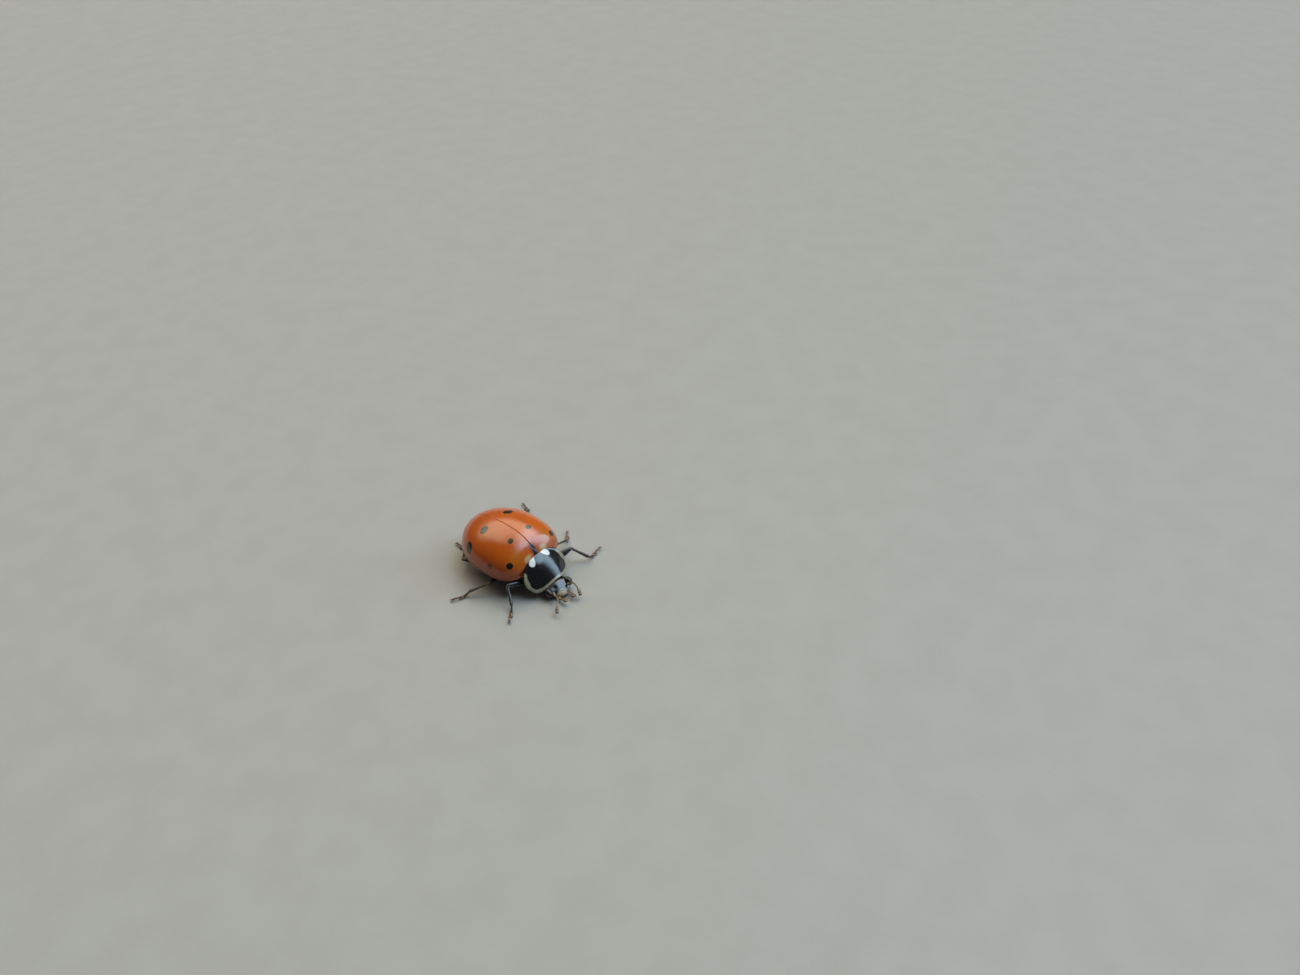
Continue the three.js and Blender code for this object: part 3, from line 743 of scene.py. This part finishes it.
def eye_look():
    look = Look("eye", Roughness=0.4, Specular_IOR_Level=0.3, Coat_Weight=0.7, Coat_Roughness=0.22)
    glow = look.noise(3, 2)
    colour = look.mix(look.step(glow, 0.35, 0.7), rgb(0.004, 0.004, 0.006), rgb(0.016, 0.012, 0.014))
    return look.finish(colour, look.step(look.noise(30, 2), 0.3, 0.7, 0.34, 0.5))


LIP_BACK, LIP_FRONT = 0.98, 1.25  # in front of the neck
LIP_HALF, LIP_THICK, LIP_HEIGHT = 0.31, 0.045, 0.245
LIP_FALL, LIP_DROOP = 0.08, 0.06  # how much lower its front and its sides are
LIP_NOTCH = (0.05, 0.07)  # depth and width


def labrum():
    """The upper lip: a thin rounded plate that bends down, with a shallow notch in its front edge."""
    x, z = superellipse(turn(56), 2.8)
    rings = []
    for share in np.sin(np.linspace(0, 1, 30) * np.pi / 2):
        half_width = LIP_HALF * (1 - 0.3 * share**4) * math.sqrt(1 - 0.97 * share**8)
        half_height = LIP_THICK * math.sqrt(1 - 0.96 * share**6)
        notch = LIP_NOTCH[0] * share**6 * hill(x * half_width, LIP_NOTCH[1])
        forward = LIP_BACK + (LIP_FRONT - LIP_BACK) * share + 0.05 * (1 - x**2) * share - notch
        height = LIP_HEIGHT - LIP_FALL * share**2 - LIP_DROOP * (x * half_width / LIP_HALF) ** 2
        rings.append(rows_of(half_width * x, -forward, height + half_height * z))
    lip = loft(rings)
    lip.values["along"] = np.clip((-lip.points[:, 1] - LIP_BACK) / (LIP_FRONT - LIP_BACK), 0, 1)
    return on_head(lip)


# Parts of the mouth on the left side: x, y and z in the head's own frame, half width and half height.
MANDIBLE = [
    (0.25, -0.9, 0.21, 0.07, 0.05), (0.23, -1.05, 0.2, 0.065, 0.045),
    (0.16, -1.17, 0.185, 0.045, 0.035), (0.07, -1.24, 0.17, 0.025, 0.022),
    (0.01, -1.265, 0.165, 0.01, 0.01),
]
LOWER_LIP = [
    (0, -0.62, 0.15, 0.2, 0.05), (0, -0.85, 0.14, 0.24, 0.05), (0, -1.02, 0.15, 0.17, 0.045),
    (0, -1.12, 0.16, 0.1, 0.03),
]
MAXILLA = [
    (0.3, -0.7, 0.18, 0.09, 0.06), (0.27, -0.92, 0.17, 0.085, 0.06),
    (0.19, -1.1, 0.18, 0.055, 0.045), (0.13, -1.19, 0.19, 0.025, 0.03),
]
LABIAL_PALP = [
    (0.06, -1.05, 0.13, 0.022, 0.022), (0.09, -1.13, 0.105, 0.03, 0.03),
    (0.1, -1.17, 0.1, 0.018, 0.018), (0.115, -1.23, 0.1, 0.03, 0.028),
    (0.12, -1.29, 0.105, 0.014, 0.014),
]


def sided(stations, side):
    return [(side * x, *rest) for x, *rest in stations]


def mouth_floor():
    """The lower lip and the bases of the maxillae, with the two short labial palps."""
    limbs = [Limb(LOWER_LIP, sides=28, power=2.6)]
    for side in SIDES.values():
        limbs += [Limb(sided(stations, side)) for stations in (MAXILLA, LABIAL_PALP)]
    return on_head(joined(limbs))


# The bend of each palp and feeler, from base to tip, in the head's own frame.
PALP_PATHS = {
    "right": [(-0.22, -0.96, 0.18), (-0.31, -1.15, 0.15), (-0.29, -1.33, 0.18), (-0.24, -1.52, 0.24),
              (-0.2, -1.68, 0.26)],
    "left": [(0.22, -0.96, 0.18), (0.32, -1.15, 0.15), (0.31, -1.34, 0.18), (0.26, -1.54, 0.24),
             (0.23, -1.7, 0.26)],
}
FEELER_PATHS = {
    "right": [(-0.4, -0.88, 0.345), (-0.48, -1.07, 0.385), (-0.53, -1.38, 0.43), (-0.72, -1.6, 0.36),
              (-0.88, -1.76, 0.31), (-1.06, -2.0, 0.27)],
    "left": [(0.4, -0.88, 0.35), (0.49, -1.03, 0.48), (0.6, -1.16, 0.55), (0.63, -1.42, 0.43),
             (0.58, -1.62, 0.34), (0.49, -1.86, 0.27)],
}
# Each joint of a palp or feeler: its share of the length, and its half width and half thickness.
PALP_JOINTS = [(0.2, 0.045, 0.045), (0.26, 0.06, 0.055), (0.18, 0.06, 0.05), (0.36, 0.12, 0.055)]
FEELER_JOINTS = (
    [(0.14, 0.07, 0.066), (0.08, 0.05, 0.05)]
    + [(0.1, 0.036, 0.036)] * 2
    + [(0.075, 0.036, 0.036)] * 3
    + [(0.07, 0.044, 0.04), (0.1, 0.072, 0.052), (0.1, 0.088, 0.06), (0.12, 0.082, 0.056)]
)
# How far along a joint, and its share of the full width there.
JOINT_SWELL = [(0.0, 0.66), (0.2, 0.8), (0.6, 0.94), (0.86, 1.0), (1.0, 0.82)]
LAST_SWELL = [(0.0, 0.56), (0.25, 0.74), (0.5, 0.92), (0.74, 1.0), (0.88, 0.97)]
JOINT_OVERLAP = 0.004


def jointed(path, joints):
    """Limbs in a chain along a path, each one waisted at its base and widest near its end."""
    fine = spline(path, 200)
    run = np.concatenate([[0], np.cumsum(np.linalg.norm(np.diff(fine, axis=0), axis=1))])
    run /= run[-1]
    limbs = []
    start = 0.0
    total = sum(joint[0] for joint in joints)
    for length, width, thickness in joints:
        end = start + length / total
        stations = []
        for share, swell in LAST_SWELL if len(limbs) == len(joints) - 1 else JOINT_SWELL:
            place = start + (end - start) * share
            centre = [np.interp(place, run, fine[:, k]) for k in range(3)]
            stations.append((*centre, width * swell, thickness * swell))
        limbs.append(Limb(stations, rows=14, sides=18))
        start = end - JOINT_OVERLAP
    return limbs


def mouth_look(name, light, dark, from_share=0.55, to_share=0.95):
    look = Look(name, Roughness=0.38, Coat_Weight=0.5, Coat_Roughness=0.2, Subsurface_Weight=0.15,
                Subsurface_Radius=(1.0, 0.5, 0.25), Subsurface_Scale=0.05 * MM)
    fine = look.noise(16)
    colour = look.mix(look.step(fine, 0.3, 0.7), light, rgb(*(0.75 * c for c in light[:3])))
    colour = look.blend(colour, dark, look.share("along"), from_share, to_share)
    normal = look.bump(look.noise(45, 2), 0.002, 0.4)
    return look.finish(colour, look.step(fine, 0.3, 0.7, 0.34, 0.5), normal)


# ---------- underside ----------
# The underside's sections: y, half width and bottom.
THORAX_STATIONS = [
    (-1.98, 0.98, 0.78), (-1.88, 1.16, 0.68), (-1.6, 1.38, 0.59), (-1.1, 1.6, 0.53),
    (-0.4, 1.72, 0.5), (0.2, 1.75, 0.5), (0.62, 1.73, 0.51),
]
ABDOMEN_STATIONS = [
    (0.5, 1.68, 0.56), (1.0, 1.6, 0.56), (1.5, 1.38, 0.6), (1.95, 1.08, 0.68), (2.3, 0.72, 0.78),
    (2.5, 0.36, 0.88), (2.58, 0.12, 0.94),
]
PLATE_EDGES = [0.98, 1.34, 1.68, 1.99, 2.27]
PLATE_SWELL = 0.014  # how far a plate of the abdomen lies out at its rear edge, and in at its front
BELLY_TOP = MARGIN_Z + 0.04
BELLY_ROUND = 0.7  # the power that makes the keel broad
# Creases of the thorax: depth, place and width. The middle one starts at its place.
CROSS_SEAMS = [(0.03, -0.98, 0.02), (0.02, 0.5, 0.015)]
MIDDLE_SEAM, SIDE_SEAM = (0.016, -0.95, 0.02), (0.02, 1.3, 0.025)
SIDE_SLANT = 0.1


def belly_ring(y, half_width, bottom, sides=48):
    """A section: flat on top inside the wing cases and a broad round keel below."""
    angles = np.linspace(0, np.pi, sides)
    x = -np.cos(angles) * half_width
    z = BELLY_TOP - (BELLY_TOP - bottom) * np.sin(angles) ** BELLY_ROUND
    lid_x = np.linspace(half_width, -half_width, sides // 2)[1:-1]
    lid_z = BELLY_TOP + 0.1 * (1 - (lid_x / half_width) ** 2)
    return rows_of(np.concatenate([x, lid_x]), y, np.concatenate([z, lid_z]))


def thorax():
    """The underside between the legs, with the seams of its plates as creases."""
    rings = []
    for y, half_width, bottom in spline(THORAX_STATIONS, 90):
        ring = belly_ring(y, half_width, bottom)
        low = ring[:, 2] < MARGIN_Z
        across = np.abs(ring[:, 0])
        crease = sum(depth * hill(y - place, width) for depth, place, width in CROSS_SEAMS)
        depth, place, width = MIDDLE_SEAM
        crease = crease + depth * hill(across, width) * (y > place)
        depth, place, width = SIDE_SEAM
        crease = crease + depth * hill(across - place - SIDE_SLANT * y, width)
        ring[:, 2] += low * crease
        rings.append(ring)
    return loft(rings)


def abdomen():
    """The hind body, whose plates each swell a little towards their rear edge."""
    edges = [ABDOMEN_STATIONS[0][0], *PLATE_EDGES, 2.6]
    rings = []
    for y, half_width, bottom in spline(ABDOMEN_STATIONS, 150):
        start = max(edge for edge in edges if edge <= y)
        end = min(edge for edge in edges if edge > y)
        swell = PLATE_SWELL * (2 * (y - start) / (end - start) - 1)
        ring = belly_ring(y, half_width + swell * 0.6, bottom)
        ring[:, 2] -= swell * np.clip((MARGIN_Z - ring[:, 2]) / 0.3, 0, 1)
        rings.append(ring)
    return loft(rings)


PROTHORAX_MIDDLE, PROTHORAX_HALF = np.array([0, -2.27, 0.74]), np.array([1.02, 0.6, 0.42])
PROTHORAX_KEEL = (0.05, 0.1)  # depth and width


def prothorax():
    """The underside of the first ring of the body, with the keel between the front hips."""
    across, along = superellipse(turn(64), 2.4)
    rings = []
    for tilt in np.linspace(0.02, np.pi - 0.02, 40):
        wide, high = math.sin(tilt), math.cos(tilt)
        ring = rows_of(across * wide, along * wide, high) * PROTHORAX_HALF
        ring[:, 2] -= PROTHORAX_KEEL[0] * hill(ring[:, 0], PROTHORAX_KEEL[1]) * (high < 0)
        ring += PROTHORAX_MIDDLE
        ring[:, 2] = np.minimum(ring[:, 2], under_pronotum(ring))
        rings.append(ring)
    return loft(rings)


# ---------- legs ----------
END_RADIUS = {"coxa": 0.25, "femur": 0.24, "tibia": 0.24, "tarsus": 0.23}  # of the CAD limbs' far ends
HIP_INSET = 0.27  # of the ball at the inner end of a hip
# Limbs of a leg: share of the length, share of the bow, half width and half height.
COXA = [(-0.25, 0, 0.15, 0.12), (0.15, 0, 0.22, 0.19), (0.6, 0, 0.2, 0.18), (0.92, 0, 0.13, 0.12)]
# The trochanter is the short ring between hip and thigh, and stays with the thigh.
FEMUR = [
    (-0.06, 0, 0.075, 0.085), (0.07, 0, 0.105, 0.12), (0.14, 0, 0.09, 0.105), (0.3, 1, 0.125, 0.16),
    (0.55, 1, 0.13, 0.175), (0.8, 0.5, 0.1, 0.135), (0.96, 0, 0.07, 0.09), (1.01, 0, 0.05, 0.06),
]
TIBIA = [
    (-0.03, 0, 0.045, 0.05), (0.05, 0, 0.052, 0.06), (0.14, 0.5, 0.047, 0.055),
    (0.5, 1, 0.056, 0.068), (0.85, 0.5, 0.066, 0.082), (0.97, 0, 0.06, 0.072),
]
FEMUR_BOW, TIBIA_BOW = 0.03, -0.02
# The foot: two padded joints on the floor, then a thin claw joint that rises and comes down again.
# Each row has its share of the foot's reach, height over the floor, half width and half height.
FOOT = [
    [(-0.02, 0.25, 0.035, 0.035), (0.12, 0.17, 0.05, 0.05), (0.27, 0.095, 0.075, 0.052),
     (0.37, 0.066, 0.066, 0.04)],
    [(0.33, 0.075, 0.035, 0.035), (0.45, 0.058, 0.085, 0.045), (0.56, 0.046, 0.1, 0.036),
     (0.62, 0.042, 0.085, 0.025)],
    [(0.5, 0.1, 0.03, 0.03), (0.66, 0.125, 0.036, 0.036), (0.85, 0.14, 0.045, 0.045),
     (0.99, 0.118, 0.05, 0.045), (1.04, 0.1, 0.035, 0.03)],
]
FOOT_OPTIONS = [{"rows": 22}, {"rows": 22, "power": 2.5}, {"rows": 26}]
CLAW_BASE = (1.02, 0.105, 0.022)  # share of the foot's reach, height and distance from its middle
# A claw and its tooth: forward, outward and up from its base, half width and half height.
CLAW = [
    (0, 0, 0, 0.02, 0.024), (0.05, 0.018, 0.012, 0.017, 0.021), (0.1, 0.032, -0.012, 0.011, 0.015),
    (0.129, 0.038, -0.062, 0.005, 0.007), (0.132, 0.038, -0.1, 0.003, 0.003),
]
TOOTH = [(0.03, 0, -0.008, 0.014, 0.016), (0.055, 0.004, -0.045, 0.004, 0.005)]
SPUR_TIP = (0.06, 0.04, -0.05)  # forward, outward and up from the end of the tibia


def leg_joints(leg):
    """Hip, trochanter, knee, ankle and toe of a leg."""
    corners = node_points(f"coxa_{leg}")
    outer = max(corners, key=lambda point: abs(point.x))
    inner = min(corners, key=lambda point: abs(point.x))
    way = (outer - inner).normalized()
    joints = [inner + way * HIP_INSET, outer - way * END_RADIUS["coxa"]]
    for kind in ("femur", "tibia", "tarsus"):
        start = joints[-1]
        tip = max(node_points(f"{kind}_{leg}"), key=lambda point: (point - start).length)
        joints.append(tip - (tip - start).normalized() * END_RADIUS[kind])
    return [np.array(joint) for joint in joints]


def straight_limb(start, end, stations, bow, up, **options):
    """A limb from start to end that is lifted by shares of its bow."""
    rows = [(*(start + (end - start) * share + bow * lift), *half) for share, lift, *half in stations]
    return Limb(rows, up, **options)


def build_leg(leg):
    hip, trochanter, knee, ankle, toe = leg_joints(leg)
    plane = unit(np.cross(knee - trochanter, ankle - knee))
    up = unit(np.cross(plane, knee - trochanter))
    up *= np.sign(up[2])
    coxa = straight_limb(hip, trochanter, COXA, up, up, rows=20)
    femur = straight_limb(trochanter, knee, FEMUR, up * FEMUR_BOW, up, rows=44, sides=28)
    tibia = straight_limb(knee, ankle, TIBIA, up * TIBIA_BOW, up, rows=40, sides=22)
    for kind, limb, look in (("coxa", coxa, "leg"), ("femur", femur, "leg"), ("tibia", tibia, "tibia")):
        piece(f"{kind}_plate_{leg}", limb.surface(), look, "leg", f"{kind}_{leg}")

    reach = np.linalg.norm((toe - ankle)[:2])
    flat = unit((toe - ankle) * (1, 1, 0))

    def foot(share, z):
        return ankle * (1, 1, 0) + flat * reach * share + UP * z

    joints = []
    for stations, options in zip(FOOT, FOOT_OPTIONS):
        joints.append(Limb([(*foot(share, z), *half) for share, z, *half in stations], **options))
    piece(f"tarsus_plate_{leg}", joined(joints, run_on=True), "foot", "foot", f"tarsus_{leg}")

    claws, spurs = [], []
    aside = np.array([-flat[1], flat[0], 0])
    for side in (-1, 1):
        ways = np.array([flat, aside * side, UP])
        base = foot(*CLAW_BASE[:2]) + aside * side * CLAW_BASE[2]
        for stations, top, rows, sides in ((CLAW, UP, 18, 12), (TOOTH, flat, 8, 10)):
            stations = [(*(base + np.array(row[:3]) @ ways), *row[3:]) for row in stations]
            claws.append(Limb(stations, top, rows=rows, sides=sides))
        root = knee + (ankle - knee) * 0.96
        stations = [(*root, 0.012, 0.012), (*(ankle + SPUR_TIP @ ways), 0.003, 0.003)]
        spurs.append(Limb(stations, (0.1, 0.2, 1), rows=6, sides=8))
    piece(f"claws_{leg}", joined(claws + spurs), "claw", "foot")

    hairs = Shape()
    first, second, third = joints
    bristles(hairs, femur, 110, 0.06, 0.35, 0, shares=(0.2, 0.97))
    bristles(hairs, tibia, 260, 0.075, 0.45, 1)
    bristles(hairs, first, 110, 0.055, 0.45, 2)
    bristles(hairs, second, 90, 0.05, 0.4, 3, angles=(0.1, np.pi - 0.1))
    bristles(hairs, second, 170, 0.03, 0.55, 4, angles=(np.pi, 2 * np.pi), shares=(0.25, 0.95))
    bristles(hairs, third, 70, 0.05, 0.4, 5)
    hairs.points[:, 2] = np.maximum(hairs.points[:, 2], 0.001)
    piece(f"bristles_{leg}", hairs, "bristle", "leg")


def leg_look(name, main, end, from_share, to_share):
    """Dark shell that turns to another tone along the limb."""
    return shell_look(name, (main, SOFT_BLACK, end, from_share, to_share), 11, (36, 0.08, 0.4, 5),
                      (0.003, 0.28), (0.26, 0.46), Roughness=0.34, Coat_Weight=0.6, Coat_Roughness=0.14)


def bristle_look():
    look = Look("bristle", Roughness=0.5)
    fine = look.noise(6, 2)
    colour = look.mix(look.step(fine, 0.3, 0.7), rgb(0.2, 0.13, 0.06), rgb(0.34, 0.24, 0.13))
    return look.finish(look.mix(look.share("along"), colour, rgb(0.46, 0.37, 0.23)))


# ---------- building ----------
looks = {
    "wing_case": wing_case_look(),
    "pronotum": pronotum_look(),
    "black": shell_look("scutellum", (BLACK, SOFT_BLACK), 8, (22, 0.1, 0.36), (0.005, 0.35),
                        (0.25, 0.4), Roughness=0.3, Coat_Weight=0.9, Coat_Roughness=0.1),
    "head": head_look(),
    "eye": eye_look(),
    "underside": shell_look("underside", (rgb(0.012, 0.01, 0.009), rgb(0.04, 0.025, 0.017)), 7,
                            (16, 0.12, 0.4), (0.008, 0.5), (0.34, 0.52),
                            Roughness=0.42, Coat_Weight=0.4, Coat_Roughness=0.2),
    "leg": leg_look("leg", BLACK, DARK_BROWN, 0.9, 1.0),
    "tibia": leg_look("tibia", BLACK, DARK_BROWN, 0.5, 1.0),
    "foot": leg_look("foot", DARK_BROWN, RED_BROWN, 0.1, 0.5),
    "claw": leg_look("claw", RED_BROWN, DARK_BROWN, 0.4, 0.9),
    "lip": mouth_look("lip", rgb(0.3, 0.2, 0.1), DARK_TAN, 0.2, 1.0),
    "jaw": mouth_look("jaw", DARK_TAN, BLACK),
    "palp": mouth_look("palp", TAN, DARK_TAN, 0.6, 0.9),
    "feeler": mouth_look("feeler", TAN, DARK_TAN, 0.75, 0.95),
    "bristle": bristle_look(),
}

for name, side in SIDES.items():
    piece(f"wing_case_{name}", wing_case(side), "wing_case", "wing_case", f"elytron_{name}")
    piece(f"compound_eye_{name}", compound_eye(side), "eye", "eye", f"eye_{name}", sharp=180)
    piece(f"mandible_{name}", on_head(Limb(sided(MANDIBLE, side)).surface()), "jaw", "mouthparts")
    palp = jointed(PALP_PATHS[name], PALP_JOINTS)
    piece(f"maxillary_palp_{name}", on_head(joined(palp, True)), "palp", "mouthparts", f"palp_{name}")
    feeler = jointed(FEELER_PATHS[name], FEELER_JOINTS)
    piece(f"feeler_{name}", on_head(joined(feeler, True)), "feeler", "feeler", f"antenna_{name}")
    down = Shape()
    for lane, joint in enumerate(feeler + palp):
        bristles(down, joint, 60, 0.032, 0.35, lane, columns=16, width=0.0022)
    piece(f"feeler_hairs_{name}", on_head(down), "bristle", "feeler")
piece("scutellum_shield", scutellum(), "black", "black_shell", "scutellum")
piece("pronotum_shield", pronotum(), "pronotum", "pronotum", "pronotum")
piece("head_capsule", head_capsule(), "head", "black_shell", "head")
piece("upper_lip", labrum(), "lip", "mouthparts", "labrum")
piece("mouth_floor", mouth_floor(), "palp", "mouthparts")
for name, shape in (("prothorax", prothorax()), ("thorax", thorax()), ("abdomen", abdomen())):
    piece(f"{name}_underside", shape, "underside", "underside", name)
for row in ("front", "middle", "hind"):
    for name in SIDES:
        build_leg(f"{row}_{name}")


# ---------- floor, light and camera ----------
FLOOR_RADIUS = 0.5  # metres
FLOOR_TONES = rgb(0.37, 0.353, 0.324), rgb(0.39, 0.373, 0.344)


def floor():
    look = Look("floor", Roughness=0.6)
    colour = look.blend(*FLOOR_TONES, look.noise(0.5, 4), 0.3, 0.7)
    normal = look.bump(look.noise(3), 0.02, 0.3)
    mesh = bpy.data.meshes.new("floor")
    ring = [(FLOOR_RADIUS * math.cos(a), FLOOR_RADIUS * math.sin(a), 0) for a in turn(96)]
    mesh.from_pydata(ring, [], [tuple(range(len(ring)))])
    mesh.materials.append(look.finish(colour, None, normal))
    made = placed("floor", mesh)


# One broad window on the beetle's left. Angles are in degrees: round from its middle, with the front
# at negative angles, and up from the floor. A pair is where a change starts and where it ends.
WINDOW_MIDDLE = 112
WINDOW_FRONT, WINDOW_REAR = (-84, -60), (66, 98)  # from dark to bright, and from bright to dark
SLANT, SLANT_RISE = 16, (42, 56)  # how much further round the window starts at its top
SILL_FRONT, SILL_MIDDLE, SILL_REAR = 6, 42, 29
SILL_CLIMB, SILL_DROP = (-56, -42), (-25, 35)
SILL_SOFT, LINTEL = 7, (54, 90)
BLUE_PANE, WHITE_PANE, REAR_PANE = (3.2, 4.4, 5.6, 1), (4.7, 5.0, 5.1, 1), (2.7, 2.45, 1.85, 1)
WHITE_FROM, REAR_FROM = (-54, -34), (-20, 14)
ROOM_LOW, ROOM_HIGH, ROOM_RISE = (0.07, 0.07, 0.07, 1), (0.06, 0.06, 0.065, 1), (0, 80)
BACKDROP = (0.6, 0.6, 0.59, 1)


def studio():
    """A dim room with one window. It is made of directions only, so it is the same all over the beetle."""
    world = bpy.data.worlds.new("studio")
    world.use_nodes = True
    look = Nodes(world.node_tree)
    way = look.node("ShaderNodeTexCoord").outputs["Generated"]
    spin = {"Vector": way, "Angle": math.radians(90 - WINDOW_MIDDLE)}
    turned = look.node("ShaderNodeVectorRotate", spin, rotation_type="Z_AXIS").outputs[0]
    x, y, z = look.split(turned)
    rise = look.times(look.math("ARCSINE", z), 180 / math.pi)
    around = look.times(look.math("ARCTAN2", y, x), 180 / math.pi)

    sill = look.step(around, *SILL_CLIMB, SILL_FRONT, SILL_MIDDLE)
    sill = look.minus(sill, look.step(around, *SILL_DROP, 0.0, SILL_MIDDLE - SILL_REAR))
    above = look.step(look.minus(rise, sill), -SILL_SOFT, SILL_SOFT)
    below = look.step(rise, *LINTEL, 1, 0)
    slanted = look.plus(around, look.step(rise, *SLANT_RISE, 0.0, SLANT))
    beside = look.times(look.step(slanted, *WINDOW_FRONT), look.step(around, *WINDOW_REAR, 1, 0))
    window = look.times(beside, look.times(above, below))
    glass = look.blend(BLUE_PANE, WHITE_PANE, around, *WHITE_FROM)
    glass = look.blend(glass, REAR_PANE, around, *REAR_FROM)
    room = look.blend(ROOM_LOW, ROOM_HIGH, rise, *ROOM_RISE)
    light = look.mix(window, room, glass)
    seen = look.node("ShaderNodeLightPath").outputs["Is Camera Ray"]
    look.put(look.tree.nodes["Background"].inputs["Color"], look.mix(seen, light, BACKDROP))
    bpy.context.scene.world = world
    bpy.context.scene.view_settings.view_transform = "Standard"


# Where the camera stands, in degrees and millimetres from a point in the beetle.
CAMERA_TURN, CAMERA_RISE, CAMERA_LEAN = -38.2786, 43.9046, 9.5082
CAMERA_DISTANCE = 51.0606
CAMERA_LENS, SENSOR = 28.246, 36.0
CAMERA_CLIP = 0.001, 5.0
TARGET = (0, 0, 1.35)
SWING_RIGHT, SWING_UP = 7.7681, 3.081  # degrees from the target to the middle of the frame


def camera():
    """The camera looks past the beetle, which stands left of and below the middle of the frame."""
    a, e, lean = (math.radians(v) for v in (CAMERA_TURN, CAMERA_RISE, CAMERA_LEAN))
    back = Vector((math.sin(a) * math.cos(e), -math.cos(a) * math.cos(e), math.sin(e)))
    right = Vector((math.cos(a), math.sin(a), 0))
    up = back.cross(right)
    aside = Vector((-math.tan(math.radians(SWING_RIGHT)), -math.tan(math.radians(SWING_UP)), -1))
    swing = Vector((0, 0, -1)).rotation_difference(aside).to_matrix()
    basis = Matrix((right, up, back)).transposed()
    turned = basis @ Matrix.Rotation(-lean, 3, "Z") @ swing.transposed()
    lens = bpy.data.cameras.new("camera")
    lens.lens, lens.sensor_width = CAMERA_LENS, SENSOR
    lens.clip_start, lens.clip_end = CAMERA_CLIP
    made = placed("camera", lens)
    spot = ORIGIN + (Vector(TARGET) + back * CAMERA_DISTANCE) * MM
    made.matrix_world = Matrix.Translation(spot) @ turned.to_4x4()
    bpy.context.scene.camera = made


floor()
studio()
camera()
